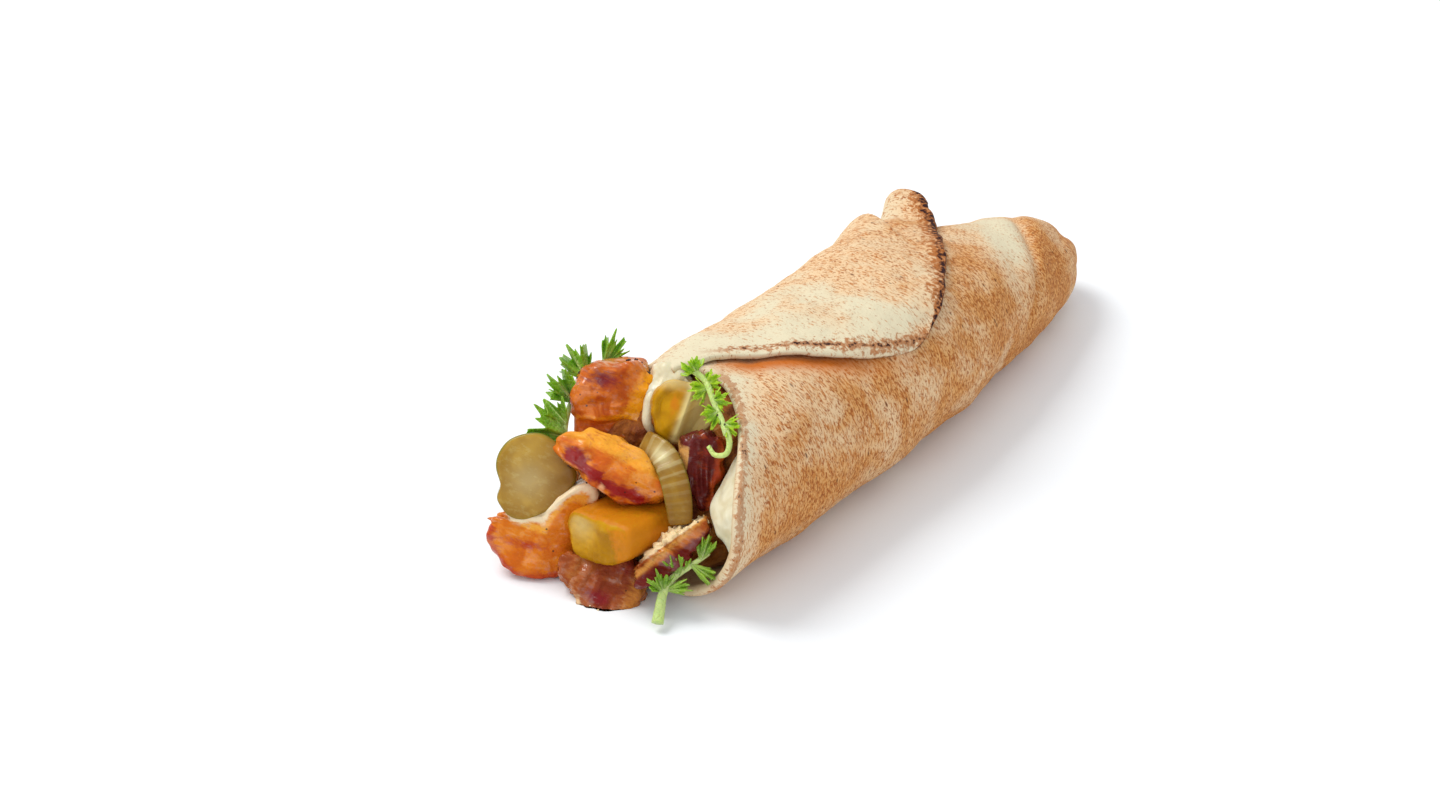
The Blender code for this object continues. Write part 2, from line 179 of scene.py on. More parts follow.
def joined(forms):
    """Several closed forms as one, kept as separate bodies."""
    starts = np.cumsum([0] + [len(form["points"]) for form in forms[:-1]])
    return {
        "points": np.concatenate([form["points"] for form in forms]),
        "faces": np.concatenate([form["faces"] + start for form, start in zip(forms, starts)]),
        "masks": {name: np.concatenate([form["masks"][name] for form in forms])
                  for name in forms[0]["masks"]},
    }


def facing_out(form):
    """The form with its triangles turned round if the volume they enclose is negative."""
    a, b, c = (form["points"][form["faces"][:, k]] for k in range(3))
    if np.einsum("ij,ij->i", a - form["points"].mean(0), np.cross(b, c)).sum() < 0:
        form["faces"] = form["faces"][:, ::-1]
    return form


def put(name, form, material, stands_for):
    """The form as a smooth mesh object in the frame, no lower than the table, riding on the sandwich."""
    points, faces = form["points"] + ROLL_ORIGIN, form["faces"]
    points[:, 2] = np.maximum(points[:, 2], 0)
    mesh = bpy.data.meshes.new(name)
    mesh.vertices.add(len(points))
    mesh.vertices.foreach_set("co", (points * MM).astype(np.float32).ravel())
    mesh.loops.add(faces.size)
    mesh.loops.foreach_set("vertex_index", faces.astype(np.int32).ravel())
    mesh.polygons.add(len(faces))
    mesh.polygons.foreach_set("loop_start", np.arange(0, faces.size, 3, dtype=np.int32))
    mesh.update(calc_edges=True)
    for mask, values in form["masks"].items():
        layer = mesh.attributes.new(mask, "FLOAT", "POINT")
        layer.data.foreach_set("value", values.astype(np.float32))
    mesh.shade_smooth()
    mesh.materials.append(material)
    piece = bpy.data.objects.new(name, mesh)
    bpy.context.scene.collection.objects.link(piece)
    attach(piece, "root")
    if stands_for:
        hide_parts(stands_for)


TAIL_FOLD_X, TAIL_FOLD_DEGREES = 145.0, 37.5


def tail_fold(x, angle):
    """How far x lies behind the fold of the tucked end, which slants forward down the side."""
    return x - TAIL_FOLD_X + 0.333 * (np.degrees(angle) - TAIL_FOLD_DEGREES)


def bread_unevenness(x, angle):
    """Relief of the bread: shallow swells, soft dents and the fold of the tucked end."""
    at = roll_point(x, angle)
    relief = 0.55 * waves(at, 34, 1) + 0.22 * waves(at, 13, 2) + 0.07 * waves(at, 5, 3)
    behind = tail_fold(x, angle)
    along_fold = ease((angle + 0.5) / 0.6) * (1 - ease((angle - 1.3) / 0.5))
    fold = 1.3 * hump(behind, -4, 6) - 1.5 * hump(behind, 2.2, 2.6) + 0.5 * hump(behind, 9, 6)
    tucks = 0.7 * ease((x - 150) / 25) * np.sin(6 * angle + 0.08 * x)
    return relief * ease((x - mouth_edge(angle)) / 14) + fold * along_fold + tucks


# The flap: x of its corner, how far its tip lies behind that, and then in degrees from the top the
# start of its front edge at the mouth, its corner, its root under the back, and its lifted tip.
FLAP_CORNER_X, FLAP_REACH = 64.0, 75.5
FLAP_START, FLAP_CORNER, FLAP_ROOT, FLAP_TIP = -19, 50.5, -165, -38
MM_PER_RADIAN = 29


def flap_front(x):
    """Degrees of the flap's front edge at x: it swings down from the mouth's top, and less and
    less up to the corner."""
    u = np.clip(x / FLAP_CORNER_X, 0, 1)
    return FLAP_START + (FLAP_CORNER - FLAP_START) * (1 - (1 - u) ** 1.2)


def rolled_bread():
    """Rings from the tucked end forward along the outside, round the rim and back along the
    inside, each at x = rim + a share of the way to the end."""
    around, outer_rings, inner_rings = 280, 190, 46
    end = ROLL_LENGTH - 0.02
    angle = np.linspace(-math.pi, math.pi, around, endpoint=False)
    wobble = np.stack([20 * np.cos(angle), 20 * np.sin(angle), 0 * angle], -1)
    rim = mouth_edge(angle) + 0.5 * waves(wobble, 14, 4)
    half = LIP / 2
    share = (0.5 + 0.5 * np.cos(np.linspace(0.02, math.pi, outer_rings)))[:, None]
    outer_x = rim + half + (end - rim - half) * share
    outer = roll_point(outer_x, angle, bread_unevenness(outer_x, angle))
    turn = np.linspace(0, math.pi, 12)[1:-1, None]
    inward = half * (1 - np.cos(turn))
    lip = roll_point(rim + half * (1 - np.sin(turn)), angle, bread_unevenness(rim, angle) - inward)
    lip[..., 2] = np.maximum(lip[..., 2], inward * 0.9)
    share = np.linspace(0, 1, inner_rings)[:, None] ** 1.6
    inner_x = rim + half + (end - BREAD - rim - half) * share
    wall = BREAD + (LIP - BREAD) * (1 - ease((inner_x - rim) / 20))
    inner = roll_point(inner_x, angle, -wall)
    inner[..., 2] = np.maximum(inner[..., 2], wall)
    grid = np.concatenate([outer, lip, inner])
    x = np.concatenate([outer_x, rim + 0 * turn, inner_x])
    degrees = np.degrees(angle)
    behind = tail_fold(x, angle)
    side = ease((degrees - 15) / 50) * (1 - ease((degrees - 150) / 20)) + ease((-degrees - 60) / 50)
    toast = 0.42 + 0.46 * side - 0.55 * hump(x - rim, 0, 10)
    toast += 0.30 * hump(behind, 14, 15) + 0.40 * hump(behind, 8, 5) * hump(degrees, 28, 30)
    toast -= 0.75 * hump(behind, -8, 9) * hump(degrees, 15, 45)
    toast += 0.25 * hump(x, 112, 14) * hump(degrees, 25, 30)
    shade = hump(degrees - flap_front(x), 4, 9)
    shade = shade * ease((x - 4) / 12) * (1 - 0.8 * ease((x - 34) / 22)) * (1 - ease((x - 58) / 8))
    distance = np.concatenate([outer_x - rim, -half * np.sin(turn) + 0 * rim, -(inner_x - rim)])
    inside = np.concatenate([0 * outer_x, turn / math.pi + 0 * rim, 1 + 0 * inner_x])
    edge = np.concatenate([outer_x - rim - half, 0.4 + 0 * turn + 0 * rim, 30 + 0 * inner_x])
    edge[len(outer_x):len(outer_x) + len(turn)] = np.abs(turn - 0.5) * half
    edge = 2.6 * edge + 1.2 + 30 * (np.abs(distance) > 8)
    scorch = ease((degrees + 5) / 10) * (1 - ease((degrees - 128) / 15))
    return closed_skin(grid, toast=toast, shade=shade, inside=inside, edge=edge, scorch=0.74 * scorch)


def pleat(x, angle):
    """A pinched pleat that runs down from the lifted tip: it rises slowly and drops steeply."""
    degrees = np.degrees(angle)
    behind = x - 111.0 + 0.346 * (degrees + 33)
    height = 3.8 * ease((behind + 26) / 25) * (1 - ease((behind + 0.6) / 3.2))
    return height * (1 - ease((degrees + 32) / 34)) * ease((degrees + 95) / 40)


def flap_of_bread():
    """The outer turn: a grid between the rim and the round far edge (u) and from under the back
    up and over the top to the front edge (v), rounded off at its free edges."""
    rows, columns = 210, 190
    u = (0.5 - 0.5 * np.cos(np.linspace(0, math.pi, rows)))[:, None]
    v = 1 - (1 - np.linspace(0, 1, columns)[None, :]) ** 1.35
    root, corner, tip = (math.radians(d) for d in (FLAP_ROOT, FLAP_CORNER, FLAP_TIP))
    edge_x = FLAP_CORNER_X * u
    edge_angle = np.radians(flap_front(edge_x))
    angle = root + (edge_angle - root) * v
    near = mouth_edge(angle) - 1.0
    far_angle = root + (corner - root) * v
    rise = np.clip((corner - far_angle) / (corner - tip), 0, 1) ** 0.655
    far = FLAP_CORNER_X + FLAP_REACH * rise - 14 * ease((tip - far_angle) / (tip - root))
    far = far + 0.35 * np.sin(far_angle * 46) * rise + 0.45 * np.sin(far_angle * 19 + 1)
    x = near + (far - near) * u
    x = x + (edge_x - x) * v**6 * (1 - u)
    at = roll_point(x, angle)
    to_front = (1 - v) * (edge_angle - root) * MM_PER_RADIAN
    to_far = (1 - u) * (far - near)
    to_near = u * (far - near) + 0 * v
    degrees = np.degrees(angle)
    lift = 3.2 * ease((x - 92) / 18) + 10.5 * ease((x - 121.5) / 14) * (1 - 0.4 * ease((x - 134) / 7))
    lift = lift * hump(degrees - FLAP_TIP, -8, 22)
    lift = lift + pleat(x, angle)
    lift = lift + 1.3 * hump(to_front, 0, 7) * np.sin(math.pi * np.clip(u * 1.05, 0, 1)) ** 0.7
    lift = lift + 0.5 * hump(to_far, 0, 5) * ease((v - 0.5) / 0.2)
    ridge = hump(x - 58 - 0.6 * (degrees - 10), 0, 9) * hump(degrees, 22, 22)
    lift = lift + 1.2 * ridge * ease(to_front / 9)
    lift = lift + 0.3 * waves(at, 30, 11) + 0.16 * waves(at, 11, 12) + 0.06 * waves(at, 4.5, 13)
    lift = lift + np.maximum(bread_unevenness(x, angle), -0.6) + 0.25
    seat = ease(v / 0.15)
    nearest = np.minimum(np.minimum(to_front, to_far), to_near)
    thick = 1.0 - 0.25 * hump(to_front, 0, 5)
    middle = lift - 0.3 + BREAD / 2 * seat
    half = BREAD / 2 * thick * rounded(nearest, 1.3)
    top = roll_point(x, angle, middle + half * seat + 0.01)
    under = roll_point(x, angle, np.minimum(middle - half, lift - 0.2) - 0.01)
    toast = 0.27 + 0.28 * ease((x - 62) / 18) * ease((degrees + 60) / 30)
    toast = toast - 0.55 * hump(to_front, 3, 10) * (1 - ease((x - 44) / 24))
    # Paler along a diagonal ridge: partly bread with fewer freckles and partly a painted highlight on the
    # ridge.
    toast = toast - 0.7 * hump(x - 61 - 0.25 * (degrees - 12), 0, 5) * hump(degrees, 24, 18)
    toast = toast + 0.2 * ease((-degrees - 70) / 40)
    on_far = hump(to_far, 0, 3) > hump(to_front, 1, 3)
    stripe = 1.9 - 0.8 * ease((x - 36) / 20)
    edge = np.where(on_far, 0.62 * to_far, 1.3 + 2.6 * np.abs(to_front - stripe))
    edge = np.minimum(edge, to_near + 6)
    scorch = np.where(on_far, 1.05, 0.92 * ease((x - 6) / 12)) * ease((v - 0.45) / 0.2)
    return two_sided(top, under, toast=toast, shade=0 * toast, inside=0 * toast, edge=edge,
                     scorch=scorch)


def add(tree, kind, inputs=None, **settings):
    """A node of a tree. settings are its own, and inputs are a socket's value or its source."""
    made = tree.nodes.new(kind)
    for name, value in settings.items():
        setattr(made, name, value)
    for socket, value in (inputs or {}).items():
        if isinstance(value, bpy.types.NodeSocket):
            tree.links.new(value, made.inputs[socket])
        else:
            made.inputs[socket].default_value = value
    return made


def mixed(tree, share, a, b):
    """Colour a, with that share of colour b in its place."""
    colours = {key: (*value, 1.0) if isinstance(value, tuple) and len(value) == 3 else value
               for key, value in ((6, a), (7, b))}
    return add(tree, "ShaderNodeMix", {0: share, **colours}, data_type="RGBA").outputs[2]


def calc(tree, operation, a, b):
    """A sum, product or other operation on two values."""
    return add(tree, "ShaderNodeMath", {0: a, 1: b}, operation=operation).outputs[0]


def between(tree, value, low, high, out_low=0.0, out_high=1.0):
    """A value eased from out_low at low to out_high at high."""
    inputs = {"Value": value, "From Min": low, "From Max": high, "To Min": out_low, "To Max": out_high}
    return add(tree, "ShaderNodeMapRange", inputs, interpolation_type="SMOOTHSTEP").outputs[0]


def noise(tree, vector, scale, detail, rough, warp=0.0):
    """Smooth uneven values of 0 to 1, with scale lumps to a millimetre, bent by warp."""
    inputs = {"Vector": vector, "Scale": scale, "Detail": detail, "Roughness": rough,
              "Distortion": warp}
    return add(tree, "ShaderNodeTexNoise", inputs).outputs["Fac"]


def mask(tree, name):
    """A value that the mesh carries at its points."""
    return add(tree, "ShaderNodeAttribute", attribute_name=name).outputs["Fac"]


def place(tree, scale=(1000.0, 1000.0, 1000.0), turn=(0.0, 0.0, 0.0)):
    """Object coordinates in millimetres, turned and stretched by scale."""
    at = add(tree, "ShaderNodeTexCoord").outputs["Object"]
    return add(tree, "ShaderNodeMapping", {"Vector": at, "Rotation": turn, "Scale": scale}).outputs[0]


def new_material(name, roughness, specular, soft=0.0, soft_reach=(1.0, 0.5, 0.25), coat=0.0):
    """A material with its shader, whose constants are set on its own sockets. soft is the share of
    light that sinks in, and soft_reach how far its red, green and blue go."""
    material = bpy.data.materials.new(name)
    material.use_nodes = True
    shader = material.node_tree.nodes["Principled BSDF"]
    shader.inputs["Roughness"].default_value = roughness
    shader.inputs["Specular IOR Level"].default_value = specular
    shader.inputs["Subsurface Weight"].default_value = soft
    shader.inputs["Subsurface Radius"].default_value = soft_reach
    shader.inputs["Subsurface Scale"].default_value = 0.0025
    shader.inputs["Coat Weight"].default_value = coat
    shader.inputs["Coat Roughness"].default_value = 0.09
    return material, material.node_tree, shader


def finish(tree, shader, colour, height, strength, depth):
    """Joins the colour and relief of a material to its shader. depth is in metres."""
    tree.links.new(colour, shader.inputs["Base Color"])
    inputs = {"Height": height, "Strength": strength, "Distance": depth}
    tree.links.new(add(tree, "ShaderNodeBump", inputs).outputs[0], shader.inputs["Normal"])


def give_out(group, **values):
    """Makes an output of a node group for each named value, and joins the value to it."""
    for name in values:
        group.interface.new_socket(name=name, in_out="OUTPUT", socket_type="NodeSocketFloat")
    output = add(group, "NodeGroupOutput")
    for name, value in values.items():
        group.links.new(value, output.inputs[name])


def griddle_marks():
    """Node group of the marks that a hot griddle leaves on flatbread: streaks that run round the
    roll, small freckles, broad patches, rare dark specks and a fine crumb relief."""
    group = bpy.data.node_groups.new("griddle_marks", "ShaderNodeTree")
    place_mm = place(group)
    parts = add(group, "ShaderNodeSeparateXYZ", {0: place_mm})
    level = calc(group, "SUBTRACT", parts.outputs[2], 25.0)
    round_roll = calc(group, "MULTIPLY", calc(group, "ARCTAN2", parts.outputs[1], level), 28.0)
    spread = add(group, "ShaderNodeCombineXYZ", {0: parts.outputs[0], 1: round_roll, 2: level})
    along = spread.outputs[0]
    wide, small = (
        add(group, "ShaderNodeMapping", {"Vector": along, "Scale": scale, "Rotation": (0, 0, 0.25)})
        for scale in ((1.7, 0.55, 0.3), (1.9, 0.95, 0.4)))
    streaks = noise(group, wide.outputs[0], 1.0, 4.0, 0.62, 0.5)
    freckles = noise(group, small.outputs[0], 1.0, 3.0, 0.6, 0.3)
    patches = noise(group, place_mm, 0.075, 2.0, 0.5, 0.4)
    cells = add(group, "ShaderNodeTexVoronoi", {"Vector": small.outputs[0], "Scale": 0.17})
    chosen = add(group, "ShaderNodeSeparateXYZ", {0: cells.outputs["Color"]}).outputs[0]
    specks = calc(group, "MULTIPLY", between(group, cells.outputs["Distance"], 0.15, 0.07),
                  between(group, chosen, 0.45, 0.55))
    crumb = noise(group, place_mm, 0.9, 3.0, 0.6)
    relief = calc(group, "ADD", crumb, calc(group, "MULTIPLY", streaks, 0.6))
    give_out(group, Streaks=streaks, Freckles=freckles, Patches=patches, Specks=specks, Relief=relief)
    return group


def bread_material():
    """Pale cream crumb, toasted in streaks and freckles by the mask of toasting, and scorched to
    brown and black along the free edges."""
    material, tree, shader = new_material("flatbread", 0.75, 0.1)
    marks = add(tree, "ShaderNodeGroup", node_tree=griddle_marks()).outputs
    patches = between(tree, marks["Patches"], 0.25, 0.75, -0.3, 0.3)
    toast = calc(tree, "ADD", mask(tree, "toast"), patches)
    colour = mixed(tree, between(tree, toast, -0.15, 0.55), (0.71, 0.63, 0.44), (0.76, 0.54, 0.32))
    colour = mixed(tree, between(tree, toast, 0.5, 1.1), colour, (0.69, 0.36, 0.125))
    streaks = calc(tree, "ADD", marks["Streaks"], calc(tree, "MULTIPLY", toast, 0.10))
    colour = mixed(tree, between(tree, streaks, 0.54, 0.68, 0, 0.85), colour, (0.50, 0.17, 0.035))
    freckles = calc(tree, "ADD", marks["Freckles"], calc(tree, "MULTIPLY", toast, 0.10))
    colour = mixed(tree, between(tree, freckles, 0.60, 0.70, 0, 0.9), colour, (0.33, 0.09, 0.02))
    specks = calc(tree, "MULTIPLY", marks["Specks"], between(tree, toast, 0.15, 0.5, 0, 0.85))
    colour = mixed(tree, specks, colour, (0.12, 0.035, 0.015))
    colour = mixed(tree, calc(tree, "MULTIPLY", mask(tree, "shade"), 0.95), colour, (0.54, 0.13, 0.008))
    inner = mixed(tree, between(tree, marks["Patches"], 0.4, 0.7),
                  (0.62, 0.46, 0.27), (0.42, 0.25, 0.12))
    colour = mixed(tree, between(tree, mask(tree, "inside"), 0.35, 0.8), colour, inner)
    edge, scorch = mask(tree, "edge"), mask(tree, "scorch")
    dashes = noise(tree, place(tree), 0.62, 3.0, 0.65)
    reach = calc(tree, "MULTIPLY", calc(tree, "MULTIPLY", dashes, dashes), 17.0)
    browned = between(tree, calc(tree, "SUBTRACT", edge, reach), 0.6, -2.2)
    browned = calc(tree, "MULTIPLY", browned, scorch)
    colour = mixed(tree, calc(tree, "MULTIPLY", browned, 0.9), colour, (0.40, 0.13, 0.03))
    burnt = calc(tree, "SUBTRACT", edge, calc(tree, "MULTIPLY", reach, 0.35))
    burnt = calc(tree, "MULTIPLY", between(tree, burnt, 0.8, -0.6),
                 between(tree, calc(tree, "MULTIPLY", dashes, scorch), 0.43, 0.55))
    colour = mixed(tree, burnt, colour, (0.035, 0.012, 0.012))
    finish(tree, shader, colour, marks["Relief"], 0.5, 0.0005)
    return material


flatbread = bread_material()
put("bread_roll", facing_out(rolled_bread()), flatbread, "bread")
put("bread_flap", facing_out(flap_of_bread()), flatbread, "bread")


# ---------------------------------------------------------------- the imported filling
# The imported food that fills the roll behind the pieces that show. Only its uneven slanting front
# can be seen, dark and moist, in the gaps between them.


def packed_filling():
    """Rings out over the slanting front to the rim, and then back along the inside of the bread."""
    around, rings_back, rings_front = 150, 50, 40
    angle = np.linspace(-math.pi, math.pi, around, endpoint=False)
    start = mouth_edge(angle) + 7 + 14 * hump(np.degrees(angle), 105, 45)
    inside = BREAD + 0.05
    x = start + (ROLL_LENGTH - BREAD - 0.5 - start) * np.linspace(0, 1, rings_back)[:, None] ** 1.3
    swell = 0.9 * ease((x - start) / 6)
    rings = roll_point(x, angle, -inside - 1.0 + swell, inside)
    rings[..., 2] = np.maximum(rings[..., 2], inside)
    rim = rings[0]
    middle = rim.mean(axis=0)
    share = np.linspace(0.01, 0.97, rings_front)[:, None, None]
    face = middle + (rim - middle) * share
    y, z = face[..., 1], face[..., 2]
    face[..., 0] = 0.6 * z - 28.0 - 11.0 * ease(y / 24) + 12.0 * ease((-y - 10) / 14)
    face[..., 0] += 12.0 * ease((16 - z) / 12) * ease((2 - y) / 14)
    face[..., 0] += 1.5 * waves(face, 9, 21) + 0.6 * waves(face, 3.2, 22)
    blend = ease((share[..., 0] - 0.85) / 0.12)
    face[..., 0] = np.maximum(face[..., 0] * (1 - blend) + rim[:, 0] * blend, face[..., 0])
    return closed_skin(np.concatenate([face, rings]))


def filling_material():
    """Dark and moist, in lumps, with paler bits where the lumps are highest."""
    material, tree, shader = new_material("packed_filling", 0.4, 0.2, 0.05)
    at = place(tree)
    lumps = noise(tree, at, 0.16, 3.0, 0.6, 0.6)
    colour = mixed(tree, between(tree, lumps, 0.35, 0.62), (0.20, 0.045, 0.010), (0.50, 0.17, 0.025))
    colour = mixed(tree, between(tree, lumps, 0.60, 0.72, 0, 0.6), colour, (0.74, 0.50, 0.20))
    finish(tree, shader, colour, noise(tree, at, 0.55, 4.0, 0.65), 0.8, 0.0012)
    return material


put("packed_filling", facing_out(packed_filling()), filling_material(), "filling")


# ---------------------------------------------------------------- the chicken
# Thigh meat shaved off a turning spit: glazed orange outside, burgundy to black where it caught,
# and pale and stringy where it was cut. Six pieces show, wedged in by hand.


def piece_axes(face, along):
    """Axes of a piece: along it, across it and out of its face."""
    normal = unit(np.array(face, float))
    along = unit(np.array(along, float) - np.dot(along, normal) * normal)
    return np.array([along, np.cross(normal, along), normal])


def cubic(near, t):
    """The smooth cubic between the middle two of four neighbours, at a share t of the way."""
    a, b, c, d = near
    return b + 0.5 * t * (c - a + t * (2 * a - 5 * b + 4 * c - d + t * (3 * (b - c) + d - a)))


def outline(radii, turn):
    """A smooth closed outline: a cubic through radii that are evenly spaced round the middle."""
    step = turn * len(radii) / (2 * math.pi)
    first = np.floor(step).astype(int)
    return cubic([np.take(radii, first + k, mode="wrap") for k in (-1, 0, 1, 2)], step - first)


def chunk(radii, thickness, edge, ragged, seed, around, arch=(0.0, 0.0)):
    """A rounded chunk: a face inside the outline, a quarter turn of radius edge, a straight side,
    and the same at the back. arch is how much the face falls per square millimetre along and
    across, and ragged the share that the outline wanders. It gives the local points, their
    outward headings, how far each faces sideways, and how far in from the outline it lies."""
    face_rings, side_rings = 25, 6
    turn = np.linspace(0, 2 * math.pi, around, endpoint=False)
    circle = np.stack([np.cos(turn), np.sin(turn)], -1)
    wander = waves(np.concatenate([circle * 10, 0 * circle[:, :1]], -1), 4.5, seed + 70)
    far = outline(radii, turn) * (1 + ragged * wander)
    quarter = np.linspace(0, math.pi / 2, 9)
    back = quarter[::-1]
    share = np.linspace(0.02, 1, face_rings + 1)[:-1]
    flat = np.zeros(face_rings)
    inward = np.concatenate([
        flat, edge * np.sin(quarter), np.full(side_rings, edge), edge * np.sin(back), flat])
    depth = np.concatenate([
        flat, edge * (1 - np.cos(quarter)),
        np.linspace(edge, thickness - edge, side_rings + 2)[1:-1],
        thickness - edge * (1 - np.cos(back)), flat + thickness])
    lean = np.concatenate([
        flat, quarter, np.full(side_rings, math.pi / 2), math.pi - back, flat + math.pi])
    share = np.concatenate([share, np.ones(side_rings + 2 * len(quarter)), share[::-1]])
    r = (far - edge) * share[:, None] + inward[:, None]
    local = np.stack([r * circle[:, 0], r * circle[:, 1], -depth[:, None] + 0 * r], -1)
    local[..., 2] -= arch[0] * local[..., 0] ** 2 + arch[1] * local[..., 1] ** 2
    out = np.stack([np.sin(lean)[:, None] * circle[:, 0], np.sin(lean)[:, None] * circle[:, 1],
                    np.cos(lean)[:, None] + 0 * r], -1)
    return local, out, np.sin(lean)[:, None] + 0 * r, far - np.hypot(local[..., 0], local[..., 1])


def tuck_in(points, clear=0.25):
    """Points behind the rim are drawn in to stay inside the bread, by their share of the inner
    superellipse's radius."""
    x = points[..., 0]
    width, height, shift = roll_section(x)
    wall = BREAD + clear
    y, z = points[..., 1] - shift, points[..., 2] - (height - FOOT_FLAT)
    reach = (np.abs(y) / (width - wall)) ** SQUARENESS + (np.abs(z) / (height - wall)) ** SQUARENESS
    reach = reach ** (1 / SQUARENESS)
    angle = np.arctan2(-y / width, z / height)
    behind = ease((x - mouth_edge(angle) + 1.0) / 5.0)
    scale = 1 + (np.minimum(1.0, 1 / np.maximum(reach, 1e-6)) - 1) * behind
    tucked = points.copy()
    tucked[..., 1], tucked[..., 2] = shift + y * scale, height - FOOT_FLAT + z * scale
    tucked[..., 2] = np.maximum(tucked[..., 2], (wall - 0.2) * ease((x + 36) / 10) + 0.1)
    return tucked


def set_in(local, middle, face, along, **masks):
    """Local points laid in the roll with middle at the middle of the face that shows. face is the
    way it faces and along the way its first axis runs."""
    return facing_out(closed_skin(tuck_in(local @ piece_axes(face, along) + middle), **masks))


def stringy(local, along, size, seed):
    """Relief of meat fibres: uneven waves drawn out five times along an axis, 0 or 1."""
    stretched = local.copy()
    stretched[..., along] *= 0.2
    return waves(stretched, size, seed)


def spice(tree):
    """Tiny dark specks of spice, as a mask."""
    cells = add(tree, "ShaderNodeTexVoronoi", {"Vector": place(tree), "Scale": 0.42})
    chosen = add(tree, "ShaderNodeSeparateXYZ", {0: cells.outputs["Color"]}).outputs[0]
    return calc(tree, "MULTIPLY", between(tree, cells.outputs["Distance"], 0.16, 0.08),
                between(tree, chosen, 0.72, 0.78))


def meat_grain():
    """Node group of roast meat: fine fibres, blotches where the glaze is thick, and relief."""
    group = bpy.data.node_groups.new("meat_grain", "ShaderNodeTree")
    for name in ("Turn", "Stretch"):
        group.interface.new_socket(name=name, in_out="INPUT", socket_type="NodeSocketVector")
    given = add(group, "NodeGroupInput")
    at = place(group)
    turned = add(group, "ShaderNodeMapping", {"Vector": at, "Rotation": given.outputs["Turn"],
                                              "Scale": given.outputs["Stretch"]}).outputs[0]
    fibres = noise(group, turned, 0.9, 4.0, 0.6, 0.35)
    blotches = noise(group, at, 0.14, 3.0, 0.55, 0.8)
    relief = calc(group, "ADD", fibres, calc(group, "MULTIPLY", noise(group, at, 0.5, 3.0, 0.6), 0.8))
    give_out(group, Fibres=fibres, Blotches=blotches, Spice=spice(group), Relief=relief)
    return group


grain_of_meat = meat_grain()


def chicken_material(name, glaze, deep, gold, charred, cut, turn):
    """Glazed meat. The masks gold, char and cut say where it is brightest, where it caught and
    where the knife bared it, and the fibres, laid over by turn, break up each of their borders.
    The cut mask also carries a painted highlight on the middle slice, and the char mask painted
    shade along the bottom edge of the top block."""
    material, tree, shader = new_material(name, 0.24, 0.1, 0.05, (1.0, 0.3, 0.1))
    lie = {"Turn": turn, "Stretch": (1.0, 0.22, 1.0)}
    grain = add(tree, "ShaderNodeGroup", lie, node_tree=grain_of_meat).outputs
    colour = mixed(tree, between(tree, grain["Blotches"], 0.35, 0.65), deep, glaze)
    uneven = between(tree, grain["Fibres"], 0.2, 0.8, -0.28, 0.28)

    def area(mask_name):
        """A mask whose border the fibres break up."""
        value = calc(tree, "ADD", mask(tree, mask_name), uneven)
        return between(tree, value, 0.1, 0.9)

    colour = mixed(tree, area("gold"), colour, gold)
    colour = mixed(tree, between(tree, grain["Fibres"], 0.52, 0.70, 0.0, 0.6), colour, deep)
    colour = mixed(tree, area("char"), colour, charred)
    colour = mixed(tree, area("cut"), colour, cut)
    colour = mixed(tree, calc(tree, "MULTIPLY", grain["Spice"], 0.85), colour, (0.03, 0.01, 0.01))
    wet = calc(tree, "ADD", grain["Blotches"], calc(tree, "MULTIPLY", grain["Fibres"], 0.5))
    tree.links.new(between(tree, wet, 0.72, 0.86), shader.inputs["Coat Weight"])
    finish(tree, shader, colour, grain["Relief"], 0.55, 0.0007)
    return material


def chicken_at_top():
    """A thick glazed block with a stepped ledge below, a dark patch at its upper left, and painted shade
    along its bottom edge.
    """
    local, out, side, _ = chunk((11, 12, 11, 12, 13, 10, 12, 10, 11, 13), thickness=13, edge=2.6,
                                arch=(0.0, 0.012), ragged=0.02, seed=31, around=170)
    up, left = local[..., 0], local[..., 1]
    ledge = ease((-4.6 - up - 0.5 * np.sin(left * 0.6)) / 0.9) * (1 - ease(side / 0.9))
    height = 0.45 * waves(local, 8, 32) + 0.28 * stringy(local, 1, 2.6, 33) - 1.5 * ledge
    height += 0.5 * hump(up, 3, 3) - 0.35 * hump(up + 0.15 * left, 0.2, 0.8)
    local = local + out * height[..., None]
    gold = 0.85 * ease((-left - 0.5 * up - 0.5) / 7) * (1 - ease((-up - 5) / 4)) + 0.5 * hump(up, -4.2, 1.0)
    char = 0.85 * hump(up, 6.6, 2.8) * hump(left, 2.5, 5) + 0.35 * hump(up, 0, 1.5) * hump(left, 6, 5)
    # The char colour along the bottom edge is painted shade under the block.
    char += 0.4 * ease((-up - 8.5) / 2)
    cut = 0.25 * ease((up - 8.5) / 2.5) * hump(left, 2, 6)
    return set_in(local, middle=(-14, 20, 43), face=(-1, -0.75, 0.55), along=(0, 0, 1),
                  gold=gold, char=char, cut=cut)


